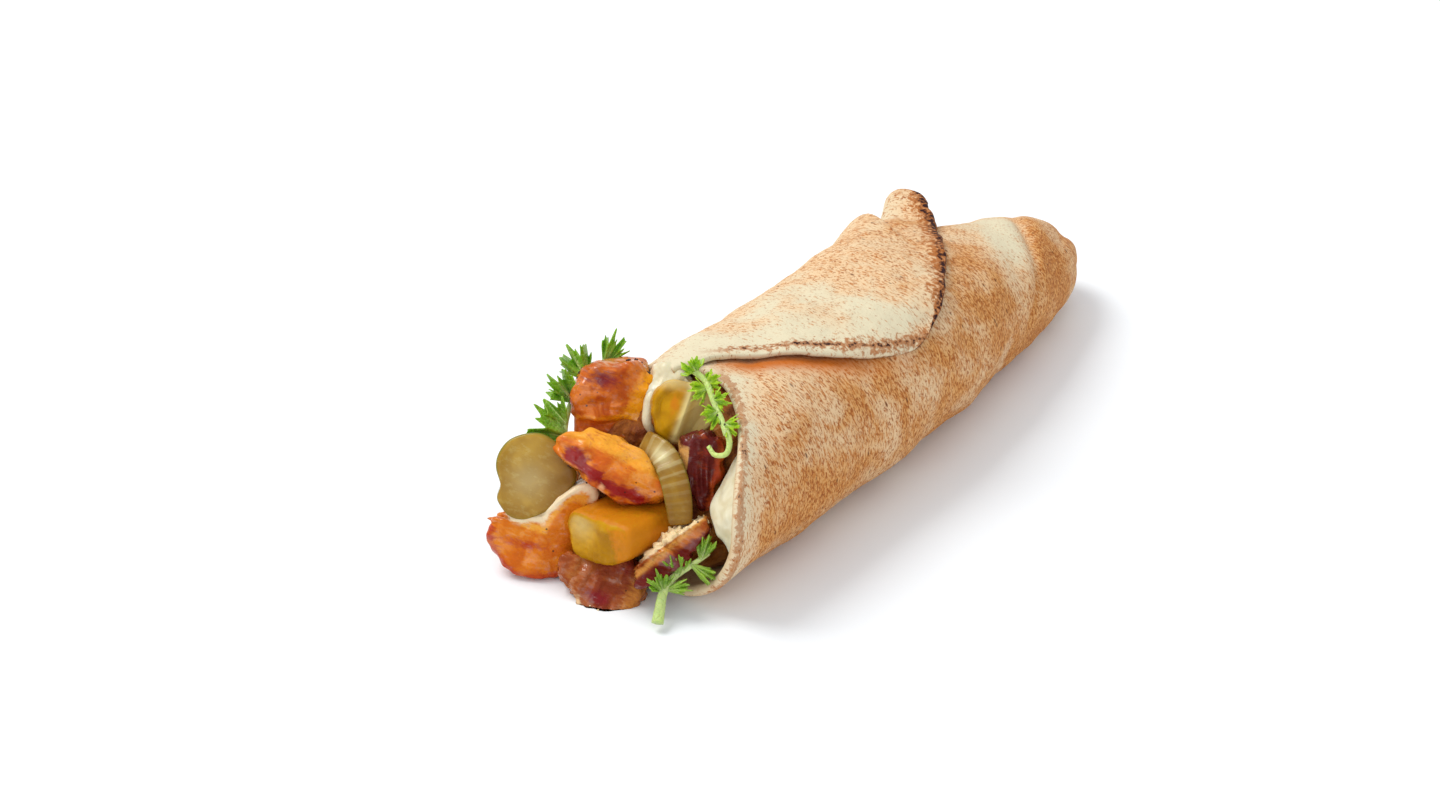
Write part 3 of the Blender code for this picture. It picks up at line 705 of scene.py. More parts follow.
def chicken_in_middle():
    """A long slice with a pointed left end: a gold upper face, a band that caught along its lower
    edge, a paler torn side under it, and a small painted highlight low on its face."""
    local, out, _, _ = chunk((17, 12, 9, 9, 10, 13, 17, 8, 6, 6, 8, 12), thickness=10, edge=2.2,
                             arch=(0.008, 0.02), ragged=0.03, seed=41, around=190)
    right, up = local[..., 0], local[..., 1]
    height = 0.5 * waves(local, 7, 42) + 0.3 * stringy(local, 0, 2.4, 43)
    band = -0.8 - 0.30 * (right + 9)
    band = np.maximum(band, -4.4 + 0.05 * right)
    height += 0.7 * hump(up, band + 4.5, 2.2) - 0.7 * hump(up, band - 1.0, 1.0)
    local = local + out * height[..., None]
    gold = 0.8 * ease((up - 1.5) / 4) + 0.4 * hump(right, 9, 6) * hump(up, 1, 4)
    char = 1.15 * hump(up, band - 0.4, 1.9 + 0.5 * waves(local, 3, 44))
    char = char * ease((right + 15) / 4) * (1 - ease((right - 11) / 5))
    char += 0.8 * hump(np.hypot(right + 9, up + 0.5), 0, 2.6)
    cut = 0.75 * ease((band - 2.2 - up) / 1.5) * ease((right + 1) / 4) * (1 - ease((right - 14) / 3))
    # A small pale spot low on the face, in the cut colour, is a painted highlight.
    cut += 0.9 * hump(np.hypot(right - 0.5, up + 6.0), 0, 1.1)
    return set_in(local, middle=(-30, 9, 34), face=(-1, -0.6, 0.9), along=(0, -1, 0),
                  gold=gold, char=char, cut=cut)


def chicken_at_left():
    """A folded slice: a broad orange face, and the pale knife cut along its upper edge."""
    local, out, side, rim = chunk((12, 11, 20, 11, 8, 10, 16, 16, 14, 12, 12, 13), thickness=7,
                                  edge=1.5, arch=(0.012, 0.0), ragged=0.025, seed=51, around=200)
    right, up = local[..., 0], local[..., 1]
    turn = np.degrees(np.arctan2(up, right))
    tear = 0.9 * waves(local * (1.0, 1.6, 1.0), 3.2, 54) * ease((turn - 150) / 12) * side
    tear = np.where((turn > 140) | (turn < -170), tear, 0)
    height = 0.3 * waves(local, 9, 52) + 0.16 * stringy(local, 0, 2.6, 53) + tear
    local = local + out * height[..., None]
    near_top = ease((turn - 48) / 8) * (1 - ease((turn - 158) / 10))
    cut = 1.5 * near_top * np.maximum(hump(rim, 0.4, 2.3), ease((side - 0.4) / 0.2))
    gold = 0.75 * hump(rim, 4.5, 2.4) * near_top + 0.35 * hump(up, 0, 3) * hump(right, -8, 6)
    char = 0.7 * hump(up, -2.6, 1.6) * hump(right, -6, 7) + 0.75 * hump(rim, 0.6, 1.6) * (turn < -30)
    return set_in(local, middle=(-42, 21, 12), face=(-1, -0.8, 0.35), along=(0, -1, 0),
                  gold=gold, char=char, cut=cut)


def chicken_at_bottom():
    """A dark slice at the foot of the mouth, ragged below, with a purple-red patch."""
    local, out, side, rim = chunk((12, 12, 11, 9, 10, 14, 9, 9, 10, 10), thickness=8, edge=2.0,
                                  arch=(0.0, 0.01), ragged=0.05, seed=61, around=180)
    right, up = local[..., 0], local[..., 1]
    height = 0.3 * waves(local, 8, 62) + 0.2 * stringy(local, 1, 2.4, 63)
    height = height + 0.5 * side * waves(local, 2.6, 64)
    local = local + out * height[..., None]
    char = 0.95 * hump(np.hypot((right - 0.5) / 1.7, up + 4.0), 0, 2.4) + 0.45 * ease((up - 3) / 3)
    gold = 0.75 * hump(right, 9.5, 3) + 0.4 * hump(right, -8, 4)
    cut = 0.9 * hump(rim, 0.4, 1.2) * ease((-up - 4) / 2) * hump(right, -2, 4)
    return set_in(local, middle=(-42, 2, 5.5), face=(-1, -0.62, 1.0), along=(0, -1, 0),
                  gold=gold, char=char, cut=cut)


def chicken_that_caught():
    """A narrow burgundy piece by the bread, with a pale cut edge on its left."""
    local, out, _, _ = chunk((10, 10, 7, 5, 7, 11, 6, 5, 6, 9), thickness=7, edge=1.6,
                             arch=(0.0, 0.02), ragged=0.03, seed=71, around=150)
    up, left = local[..., 0], local[..., 1]
    height = 0.4 * waves(local, 5, 72) + 0.3 * stringy(local, 0, 2.2, 73)
    local = local + out * height[..., None]
    char = 0.95 * ease((left + 3.6 + 0.15 * up) / 2.5) + 0.25 * waves(local, 5, 74)
    cut = 1.3 * ease((left - 4.4 + 0.12 * up) / 0.9) * (1 - ease((up - 5) / 3))
    gold = 0.4 * hump(left, -5, 2) * hump(up, 5, 5)
    return set_in(local, middle=(-14, -12, 33), face=(-1, -0.77, 0.4), along=(0, 0, 1),
                  gold=gold, char=char, cut=cut)


def chicken_with_crumb():
    """A small crusty piece: a cream crumbled upper edge over a browned face, dark red below."""
    local, out, _, _ = chunk((4.8, 6.5, 12.5, 8, 5, 4.6, 5.2, 7.8, 13, 8.5, 5.4, 4.8),
                             thickness=8, edge=1.6, ragged=0.05, seed=81, around=180)
    right, up = local[..., 0], local[..., 1]
    slope = 0.48 * up - 0.88 * right
    height = 0.35 * waves(local, 5, 82) + 0.3 * stringy(local, 0, 2.2, 83)
    height += 0.6 * waves(local, 1.8, 84) * ease((slope - 1) / 2)
    local = local + out * height[..., None]
    cut = 1.25 * ease((slope - 2.4 + 0.12 * up) / 1.4)
    gold = 0.6 * hump(slope, 1.8, 1.3)
    char = ease((1.4 - slope - 0.14 * up) / 3.2)
    return set_in(local, middle=(-32.5, -15.6, 17.6), face=(-1, -0.77, 0.7), along=(0, -1, 0),
                  gold=gold, char=char, cut=cut)


# Each piece's shape and its colours: glaze, the deeper glaze, gold, caught and cut. The cut colour
# also paints a highlight on the middle slice, and the caught colour paints shade along the top
# block's bottom edge.
CREAM_OF_MEAT = (0.83, 0.66, 0.42)
CHICKEN = {
    "top": (chicken_at_top, (0.3, 0.2, 0.6), (
        (0.66, 0.17, 0.012), (0.40, 0.06, 0.006), (0.84, 0.33, 0.006), (0.20, 0.016, 0.02),
        CREAM_OF_MEAT)),
    "middle": (chicken_in_middle, (0.0, 0.6, 0.1), (
        (0.76, 0.23, 0.015), (0.54, 0.10, 0.01), (0.86, 0.37, 0.035), (0.28, 0.012, 0.010),
        (0.78, 0.38, 0.18))),
    "left": (chicken_at_left, (0.2, 0.5, 0.0), (
        (0.74, 0.22, 0.008), (0.58, 0.12, 0.006), (0.82, 0.36, 0.04), (0.42, 0.04, 0.008),
        CREAM_OF_MEAT)),
    "bottom": (chicken_at_bottom, (0.0, 0.9, 0.4), (
        (0.36, 0.085, 0.015), (0.22, 0.035, 0.010), (0.52, 0.19, 0.03), (0.20, 0.010, 0.012),
        (0.78, 0.52, 0.28))),
    "charred": (chicken_that_caught, (0.5, 0.2, 0.3), (
        (0.46, 0.07, 0.010), (0.30, 0.03, 0.008), (0.66, 0.20, 0.02), (0.12, 0.012, 0.010),
        (0.62, 0.30, 0.08))),
    "crumbed": (chicken_with_crumb, (0.1, 0.4, 0.2), (
        (0.52, 0.15, 0.02), (0.34, 0.06, 0.010), (0.74, 0.36, 0.07), (0.15, 0.012, 0.008),
        (0.84, 0.64, 0.36))),
}
chicken_forms = {}
for place_in_roll, (shape, turn, colours) in CHICKEN.items():
    meat, node = "meat_" + place_in_roll, "chicken_" + place_in_roll
    chicken_forms[place_in_roll] = shape()
    put(meat, chicken_forms[place_in_roll], chicken_material(meat, *colours, turn), node)


# ---------------------------------------------------------------- the pickled cucumber
# A round slice lying against the back of the rim and a long strip across the middle: olive,
# wet and half see-through, with a darker skin along the cut edge.


def pickle_material():
    """Olive flesh, paler at its middle, with a darker green skin and faint threads of seed. The mask
    dark browns the strip and paints shade down the slice's right side; the mask light pales the
    slice's middle and paints wet highlights on the strip.
    """
    material, tree, shader = new_material("pickle", 0.24, 0.14, 0.12, (0.8, 0.7, 0.2), 0.12)
    at = place(tree)
    cloudy = noise(tree, at, 0.13, 2.0, 0.5, 0.5)
    threads = noise(tree, place(tree, (900, 260, 900), (0.4, 0.3, 0.5)), 0.8, 3.0, 0.6)
    colour = mixed(tree, between(tree, cloudy, 0.35, 0.65), (0.33, 0.17, 0.013), (0.45, 0.26, 0.03))
    colour = mixed(tree, between(tree, threads, 0.5, 0.7, 0, 0.3), colour, (0.55, 0.43, 0.14))
    colour = mixed(tree, mask(tree, "dark"), colour, (0.17, 0.065, 0.005))
    colour = mixed(tree, mask(tree, "light"), colour, (0.70, 0.62, 0.34))
    colour = mixed(tree, mask(tree, "skin"), colour, (0.13, 0.15, 0.012))
    finish(tree, shader, colour, noise(tree, at, 0.35, 3.0, 0.5), 0.35, 0.0006)
    return material


def pickle_slice():
    """A coin with a slightly lobed outline and a notch, whose face is faintly dished, with painted shade
    down its right side.
    """
    local, out, _, rim = chunk((12, 12.5, 12, 11, 12.5, 13, 11, 10, 10, 11, 10.5, 11),
                               thickness=5, edge=1.1, ragged=0.008, seed=91, around=170)
    up, left = local[..., 0], local[..., 1]
    notch = hump(np.hypot(up + 2.5, left - 12.5), 0, 2.6)
    height = 0.2 * waves(local, 7, 92) + 0.08 * hump(rim, 1.2, 0.8)
    local = local + out * height[..., None]
    local[..., 1] -= 1.5 * notch * ease((left - 7) / 4)
    skin = 0.8 * ease((0.9 - rim) / 0.9) * (0.45 + 0.55 * ease((up + left) / 10))
    # dark is painted shade on the slice's right side, and a little towards its lower edge.
    dark = 0.9 * ease((1 - left) / 12) + 0.2 * ease((-up - 5) / 6)
    light = 0.3 * hump(np.hypot(up + 1, left - 2), 0, 5)
    return set_in(local, middle=(-38, 28, 28), face=(-1, -0.77, 0.75), along=(0, 0, 1),
                  skin=skin, dark=dark, light=light)


def smooth_path(points, count):
    """A curve through a few points, by a cubic between each pair, at count even steps."""
    points = np.array(points, float)
    knots = np.concatenate([2 * points[:1] - points[1:2], points, 2 * points[-1:] - points[-2:-1]])
    turn = np.linspace(0, len(points) - 1 - 1e-9, count)
    first = turn.astype(int)
    return cubic([knots[first + k] for k in range(4)], (turn - first)[:, None])


def along_path(path, face, count):
    """The middle at each step along a path, and the directions across it and out of it."""
    middle = smooth_path(path, count)
    ahead = unit(np.gradient(middle, axis=0))
    across = unit(np.cross(unit(np.array(face, float)), ahead))
    return middle, across, np.cross(ahead, across)


def carried(middle, across, out, a, b):
    """Rings of a section carried along a path: a is how far across and b how far out."""
    return middle[:, None] + across[:, None] * a[..., None] + out[:, None] * b[..., None]


def pickle_strip():
    """A rounded-oblong section carried along the strip, with low ridges across it and painted wet
    highlights near its upper end and on its ridges.
    """
    path = [(-15, 8, 36), (-18, -1, 36), (-21, -7, 32), (-24, -11, 27), (-26, -13, 22)]
    count, half_width, half_thick = 120, 3.9, 1.5
    path_lines = along_path(path, (-1, -0.9, 0.5), count)
    s = np.linspace(0, 1, count)[:, None]
    turn = np.linspace(0, 2 * math.pi, 48, endpoint=False)
    round_end = rounded(np.minimum(s, 1 - s), 0.04, 0.02)
    wide = half_width * (0.78 + 0.22 * np.sin(math.pi * np.clip(s * 0.9 + 0.05, 0, 1))) * round_end
    ridges = np.sin(s * 70)
    a = squared_off(np.cos(turn), 0.55) * wide
    b = squared_off(np.sin(turn), 0.7) * (half_thick + 0.09 * ridges) * round_end
    b = b + 0.4 * (a / half_width) ** 2
    skin = 0.35 * ease((np.abs(a) - 3.2) / 0.5)
    dark = 0.5 + 0.3 * ease((s - 0.4) / 0.4) - 0.3 * hump(a, 0, 2)
    # light here is painted wet highlights: a patch towards the strip's upper end and the crests of its
    # ridges.
    light = 0.8 * hump(s, 0.26, 0.10) * hump(a, -0.5, 2.2) + 0.25 * (ridges > 0.5) * hump(s, 0.3, 0.3)
    grid = tuck_in(carried(*path_lines, a, b))
    return facing_out(closed_skin(grid, skin=skin, dark=dark, light=light))


pickled = pickle_material()
put("pickle_coin", pickle_slice(), pickled, "pickle_slice")
put("pickle_spear", pickle_strip(), pickled, "pickle_strip")


# ---------------------------------------------------------------- the fried potato
# Two thick cut chips, bright yellow, with flat knife-cut sides and soft edges that have browned a
# little in the pan. The front one lies end on, and the back one stands under the sauce.


def potato_material():
    """Deep yellow, pale and fried by mask, with the fried borders broken up. The fried mask also
    paints shade on the front chip's top, and the pale mask paints a wet highlight along the back
    chip's ridge.
    """
    material, tree, shader = new_material("potato", 0.36, 0.1, 0.1, (1.0, 0.7, 0.1))
    at = place(tree)
    colour = mixed(tree, between(tree, noise(tree, at, 0.12, 2.0, 0.5, 0.4), 0.35, 0.65),
                   (0.38, 0.165, 0.0015), (0.53, 0.26, 0.003))
    colour = mixed(tree, mask(tree, "pale"), colour, (0.90, 0.80, 0.38))
    uneven = between(tree, noise(tree, at, 0.45, 3.0, 0.6), 0.25, 0.75, -0.25, 0.25)
    fried = calc(tree, "ADD", mask(tree, "fried"), uneven)
    colour = mixed(tree, between(tree, fried, 0.25, 0.85), colour, (0.56, 0.19, 0.006))
    finish(tree, shader, colour, noise(tree, at, 0.8, 4.0, 0.6), 0.35, 0.0006)
    return material


def potato_in_front():
    """A block seen end on, with a broad chamfer down its right side and painted shade on its top."""
    local, out, side, rim = chunk((11.5, 12.5, 8.5, 7.5, 8.5, 12.5, 11, 11, 8, 6.5, 7, 8.5),
                                  thickness=22, edge=2.2, ragged=0.006, seed=101, around=150)
    right, up = local[..., 0], local[..., 1]
    height = 0.28 * waves(local, 8, 102) + 0.08 * waves(local, 2, 103)
    local = local + out * height[..., None]
    # The first fried term darkens the chip's top: painted shade under the chicken slice above it. The rim
    # and right-side terms are browning from the pan.
    fried = 0.65 * ease((side - 0.5) / 0.3) * ease((up - 3) / 3) + 0.25 * hump(rim, 0.5, 0.8)
    fried += 0.75 * ease((right - 3.5 + 0.3 * up) / 3.5) * (1 - ease((up - 5) / 2))
    pale = 0.3 * hump(np.hypot(right + 6, up - 4), 0, 4) * (1 - ease(side / 0.5))
    return set_in(local, middle=(-41, 4, 17), face=(-1, 0.05, 0.15), along=(0, -1, 0.1),
                  fried=fried, pale=pale)


def potato_at_back():
    """A lump of three soft facets: a golden left one, a pale right one, and a ridge between with a painted
    wet highlight along it.
    """
    local, out, side, _ = chunk((7, 8.5, 9, 9, 10, 10, 9, 9, 8, 7.5), thickness=15, edge=3.0,
                                ragged=0.01, seed=111, around=150)
    up, left = local[..., 0], local[..., 1]
    ridge = left + 0.35 * up + 0.5
    height = 1.6 - 0.45 * np.abs(ridge) - 0.25 * np.maximum(-up - 1 - ridge, 0)
    height = np.maximum(height, -2.2) * (1 - ease((side - 0.3) / 0.5)) + 0.2 * waves(local, 5, 112)
    local = local + out * height[..., None]
    # The pale term along the ridge is a painted wet highlight.
    pale = 0.6 * hump(ridge, 0.2, 1.1) + 0.4 * ease(-ridge / 3) + 0.4 * ease((up - 5) / 3)
    fried = 0.7 * hump(ridge, 3.4, 2.0) * hump(up, 1.5, 4)
    return set_in(local, middle=(-8, 0, 45), face=(-1, -0.77, 0.5), along=(0, 0, 1),
                  fried=fried, pale=pale)


fried_potato = potato_material()
put("chip_front", potato_in_front(), fried_potato, "potato_front")
put("chip_back", potato_at_back(), fried_potato, "potato_back")


# ---------------------------------------------------------------- the garlic sauce
# Thick white yoghurt sauce, spooned in before rolling: a glossy dollop at the top that runs down
# between chicken and potato, and a smear along the bread at the side.


def sauce_material():
    """Cloudy white sauce with a few specks of green herb."""
    material, tree, shader = new_material("garlic_sauce", 0.3, 0.3, 0.25, (1.0, 0.85, 0.6), 0.1)
    at = place(tree)
    cloudy = noise(tree, at, 0.2, 3.0, 0.5, 0.6)
    colour = mixed(tree, between(tree, cloudy, 0.3, 0.7), (0.66, 0.58, 0.37), (0.78, 0.73, 0.54))
    herbs = add(tree, "ShaderNodeTexVoronoi", {"Vector": at, "Scale": 0.33}).outputs["Distance"]
    colour = mixed(tree, between(tree, herbs, 0.09, 0.05, 0, 0.5), colour, (0.30, 0.36, 0.10))
    finish(tree, shader, colour, noise(tree, at, 0.28, 2.0, 0.5, 0.4), 0.4, 0.0009)
    return material


def sauce_on_top():
    """A soft dollop: a domed chunk that swells and sags in slow waves."""
    local, out, _, _ = chunk((7, 7, 8, 8, 9, 9, 8, 7), thickness=9, edge=4.2, arch=(0.02, 0.02),
                             ragged=0.03, seed=121, around=120)
    local = local + out * (0.9 * waves(local, 7, 122) + 0.25 * waves(local, 3, 123))[..., None]
    return set_in(local, middle=(-3.5, 8.5, 46), face=(-1, -0.77, 0.5), along=(0, 0, 1))


def run_of_sauce():
    """A run of sauce: an oval section along a path, swelling in slow waves and thinning to its end."""
    path = [(-5, 12.5, 46), (-8, 12, 42), (-10, 11, 38.5), (-9, 9.5, 34)]
    count, wide, thick = 70, 2.3, 2.4
    middle, across, out = along_path(path, (-1, -0.77, 0.5), count)
    s = np.linspace(0, 1, count)[:, None]
    turn = np.linspace(0, 2 * math.pi, 40, endpoint=False)
    ends = np.sqrt(np.clip(1 - (2 * s - 1) ** 4, 0.001, 1)) * (1 - 0.55 * s)
    size = ends * (1 + 0.10 * waves(middle, 9, 124)[:, None])
    a, b = np.cos(turn) * wide * size, np.sin(turn) * thick * size
    return facing_out(closed_skin(tuck_in(carried(middle, across, out, a, b), 0.0)))


def smear_of_sauce():
    """A smear against the bread just inside the rim: it faces forward, reaches from the wall
    towards the middle of the mouth, and rounds off along its border."""
    inward = np.linspace(0, 1, 60)[:, None]
    round_roll = np.linspace(-1, 1, 90)[None, :]
    angle = np.radians(76 + 34 * round_roll) + 0 * inward
    round_off = np.sqrt(np.clip(1 - np.maximum(np.abs(round_roll) ** 3, inward**3), 0, 1))
    deep = (LIP - 0.6) + 13.0 * inward * (1 - 0.45 * round_roll**2)
    x = mouth_edge(angle) + 5.2 - 3.6 * round_off + 3.5 * inward
    at = roll_point(x, angle, -deep)
    x = x + 0.35 * waves(at, 9, 125) + 0.12 * waves(at, 4, 126)
    top = roll_point(x, angle, -deep, LIP - 1.0)
    under = roll_point(x + 0.3 + 3.0 * round_off, angle, -deep, LIP - 1.0)
    return facing_out(two_sided(top, under))


garlic_sauce = sauce_material()
put("sauce_top", joined([sauce_on_top(), run_of_sauce()]), garlic_sauce, "garlic_sauce_top")
put("sauce_side", smear_of_sauce(), garlic_sauce, "garlic_sauce_side")


# ---------------------------------------------------------------- the lettuce
# Frilly green leaf tips, thin and springy. Each tuft is a few small fans of leaf on a pale stem,
# whose rims are cut into points and ruffle as they spread.

# Directions at the mouth: to the right across it, up it, and out towards its front left.
MOUTH_RIGHT = np.array([0.609, -0.793, 0.0])
MOUTH_UP = np.array([0.409, 0.314, 0.857])
MOUTH_OUT = np.array([-0.680, -0.522, 0.515])


def fan_of_leaf(base, heading, size, spread, lobes, ruffle, curl, seed):
    """A leaf fan: points at a share t of the way out along rays that spread to that many degrees
    from the base. The rays' length follows a row of pointed lobes, and the leaf ruffles more
    towards its rim. heading is (right, up, out) at the mouth."""
    draw = np.random.default_rng(seed)
    t = np.linspace(0.0, 1, 30)[:, None]
    a = np.linspace(-1, 1, 120)[None, :]
    axes = np.array([MOUTH_RIGHT, MOUTH_UP, MOUTH_OUT])
    ahead = unit(np.array(heading, float) @ axes)
    side = unit(np.cross(MOUTH_OUT, ahead))
    normal = np.cross(ahead, side)
    phase = draw.uniform(0, 2 * math.pi, 6)
    ray = a * math.radians(spread)
    points = 1 - np.abs(np.sin(a * lobes * math.pi / 2 + phase[0] + 0.8 * np.sin(2 * a + phase[4])))
    teeth = 1 - np.abs(np.sin(a * lobes * math.pi * 1.2 + phase[1] + np.sin(3 * a + phase[5])))
    length = size * (0.58 + 0.34 * points + 0.20 * teeth) * (1 - 0.2 * a**2)
    reach = length * t
    frill = 1.5 * np.sin(a * lobes * 1.9 + phase[2]) + t * np.sin(a * lobes * 4.2 + phase[3])
    out = ruffle * t**1.3 * frill + curl * t**2 * size * 0.5
    wide = np.sin(ray) * reach + a * 0.45 * (1 - t)
    middle = (np.asarray(base, float) + ahead * (np.cos(ray) * reach)[..., None]
              + side * wide[..., None] + normal * out[..., None])
    slope_t, slope_a = np.gradient(middle, axis=0), np.gradient(middle, axis=1)
    lie = np.cross(slope_t, slope_a)
    lie /= np.maximum(np.linalg.norm(lie, axis=-1), 1e-9)[..., None]
    thick = (0.14 + 0.45 * (1 - t) ** 2 * hump(a, 0, 0.5))[..., None] * np.ones_like(lie)
    rib = np.maximum(hump(a, 0, 0.06) * (1 - t), 0) + 0.35 * (1 - t) ** 2
    return facing_out(two_sided(middle + lie * thick, middle - lie * thick, rim=t + 0 * a, rib=rib))


def stem_of_leaf(path, wide, tip):
    """A stem: a round section along a path, thinning to that share of its width at its tip."""
    count = 40
    path_lines = along_path(path, MOUTH_OUT, count)
    s = np.linspace(0, 1, count)[:, None]
    turn = np.linspace(0, 2 * math.pi, 14, endpoint=False)
    size = wide * (1 + (tip - 1) * s)
    grid = carried(*path_lines, np.cos(turn) * size, np.sin(turn) * size * 0.7)
    return facing_out(closed_skin(grid, rim=0.15 + 0 * size * turn, rib=0.7 + 0 * size * turn))


def lettuce_material(name, body, bright):
    """Leaf green, brighter and yellower at the rim, pale along the ribs, with a net of veins."""
    material, tree, shader = new_material(name, 0.34, 0.3, 0.2, (0.5, 1.0, 0.1), 0.08)
    at = place(tree)
    net = add(tree, "ShaderNodeTexVoronoi", {"Vector": at, "Scale": 0.6}, feature="DISTANCE_TO_EDGE")
    veins = net.outputs[0]
    colour = mixed(tree, between(tree, noise(tree, at, 0.2, 3.0, 0.6), 0.3, 0.7), body, bright)
    colour = mixed(tree, between(tree, mask(tree, "rim"), 0.55, 1.0, 0, 0.5), colour, bright)
    colour = mixed(tree, between(tree, veins, 0.06, 0.0, 0, 0.35), colour, (0.55, 0.70, 0.20))
    colour = mixed(tree, mask(tree, "rib"), colour, (0.62, 0.72, 0.28))
    finish(tree, shader, colour, between(tree, veins, 0.0, 0.2), 0.5, 0.0004)
    return material


def tuft(path, wide, tip, fans):
    """A stem along a path, with fans of leaf along it."""
    return joined([stem_of_leaf(path, wide, tip), *(fan_of_leaf(*fan) for fan in fans)])


# Each fan's base, heading, size, spread, lobes, ruffle, curl and seed.
left_tuft = tuft(
    [(-25, 29, 31), (-20, 32, 36), (-14, 34, 40), (-8, 34, 44), (-4, 32, 47)], 1.0, 0.5,
    [((-23, 29, 33.5), (-0.95, 0.15, 0.3), 13.5, 50, 3, 1.6, 0.1, 201),
     ((-21, 31, 35.5), (-0.70, 0.80, 0.1), 9.0, 40, 2, 1.4, 0.3, 202),
     ((-15, 33, 39), (-0.60, 0.80, 0.3), 11.5, 42, 3, 1.5, 0.1, 203),
     ((-8, 34, 43), (-0.55, 0.90, 0.1), 11.5, 44, 3, 1.5, -0.1, 204),
     ((-4, 31, 46.5), (0.45, 0.9, 0.0), 10.5, 34, 3, 1.4, 0.0, 206)])
right_tuft = tuft(
    [(-2, 2, 55), (-3, -4, 53.5), (-6, -9, 50.5), (-9, -14, 48), (-12, -18, 46)], 0.9, 0.9,
    [((-2, 0, 54.5), (-0.4, 0.6, 0.4), 5.5, 70, 5, 0.9, 0.2, 211),
     ((-3, -4, 53), (0.9, 0.2, 0.3), 5.0, 70, 5, 0.8, 0.2, 212),
     ((-4, -5, 52), (-0.8, -0.3, 0.3), 5.5, 65, 5, 0.9, 0.2, 213),
     ((-6, -9, 50.5), (0.9, 0.0, 0.3), 5.0, 70, 5, 0.9, 0.2, 214),
     ((-8, -12, 49), (-0.8, -0.5, 0.4), 5.5, 65, 5, 0.9, 0.3, 215),
     ((-10, -16, 47.5), (0.8, -0.3, 0.3), 4.8, 70, 5, 0.9, 0.2, 216)])
hooked_end = stem_of_leaf([(-11, -17, 47), (-12.5, -19.5, 44.5), (-14, -19.5, 41.5),
                           (-15, -16.5, 40.5), (-14.5, -13.8, 42)], 0.9, 0.7)
right_tuft = joined([right_tuft, hooked_end])
bottom_tuft = tuft(
    [(-44.5, -19.5, 2.6), (-41.5, -18, 5), (-38, -16.5, 8), (-34, -17, 11), (-29.5, -20, 14),
     (-26, -23, 17)], 1.7, 0.35,
    [((-38, -16.5, 8), (-0.35, 0.9, 0.3), 6.5, 55, 4, 0.8, 0.1, 221),
     ((-37, -17, 8.5), (0.95, 0.15, 0.2), 7.0, 28, 3, 0.6, 0.0, 222),
     ((-33, -18, 11.5), (-0.2, 0.95, 0.3), 6.5, 50, 4, 0.8, 0.2, 223),
     ((-30, -20, 14), (0.85, -0.55, 0.2), 8.5, 24, 3, 0.7, 0.0, 224),
     ((-28, -21.5, 15.5), (0.35, 0.9, 0.2), 7.5, 36, 4, 0.8, 0.0, 225)])
for place_in_roll, form, body, bright in (
    ("left", left_tuft, (0.075, 0.20, 0.004), (0.21, 0.40, 0.010)),
    ("right", right_tuft, (0.22, 0.46, 0.008), (0.45, 0.68, 0.02)),
    ("bottom", bottom_tuft, (0.09, 0.22, 0.006), (0.24, 0.42, 0.025)),
):
    leaf = "leaf_" + place_in_roll
    put(leaf, form, lettuce_material(leaf, body, bright), "lettuce_" + place_in_roll)


# ---------------------------------------------------------------- pepper and crumbs
# Cracked black pepper on the glazed meat, and pale crumbs of crust and meat where the pieces tore.

# A bead's twelve corners, on three crossed golden rectangles, at a radius of about 1.
GOLDEN_RATIO = 1.618
BEAD = np.array([(0, s, t * GOLDEN_RATIO) for s in (-1, 1) for t in (-1, 1)])
BEAD = np.concatenate([BEAD, BEAD[:, [1, 2, 0]], BEAD[:, [2, 0, 1]]]) / 1.9


def bead_faces():
    """The twenty triangles of the bead: every three of its corners that lie one edge apart."""
    far = np.linalg.norm(BEAD[:, None] - BEAD, axis=-1)
    near = (far > 0) & (far < 1.2 * far[far > 0].min())
    faces = np.array([(a, b, c) for a in range(12) for b in range(a) for c in range(b)
                      if near[a, b] and near[b, c] and near[a, c]])
    a, b, c = (BEAD[faces[:, k]] for k in range(3))
    inward = np.einsum("ij,ij->i", a, np.cross(b, c)) < 0
    faces[inward] = faces[inward][:, ::-1]
    return faces


def sprinkled(form, near, reach, count, size, seed):
    """Jittered beads of about size, half sunk in a form. Each lies on one of its points that faces
    out of the mouth, picked by chance, likeliest within reach of the spot near."""
    draw = np.random.default_rng(seed)
    points = form["points"]
    a, b, c = (points[form["faces"][:, k]] for k in range(3))
    heading = np.zeros_like(points)
    for k in range(3):
        np.add.at(heading, form["faces"][:, k], np.cross(b - a, c - a))
    seen = heading @ MOUTH_OUT > 0
    far = np.linalg.norm(points - near, axis=1)
    chance = np.exp(-((far / reach) ** 2)) * seen * np.linalg.norm(heading, axis=1)
    picked = points[draw.choice(len(points), count, p=chance / chance.sum())]
    scale = size * draw.uniform(0.5, 1.3, (count, 1, 1)) * draw.uniform(0.7, 1.3, (count, 1, 3))
    beads = picked[:, None] + BEAD * scale * draw.uniform(0.75, 1.2, (count, 12, 1))
    faces = bead_faces()[None] + 12 * np.arange(count)[:, None, None]
    return {"points": beads.reshape(-1, 3), "faces": faces.reshape(-1, 3), "masks": {}}


def grit_material(name, dark, light, roughness):
    """A dark and a light colour in fine grains."""
    material, tree, shader = new_material(name, roughness, 0.3)
    at = place(tree)
    grit = noise(tree, at, 1.4, 2.0, 0.6)
    finish(tree, shader, mixed(tree, between(tree, grit, 0.35, 0.65), dark, light), grit, 0.5, 0.0002)
    return material


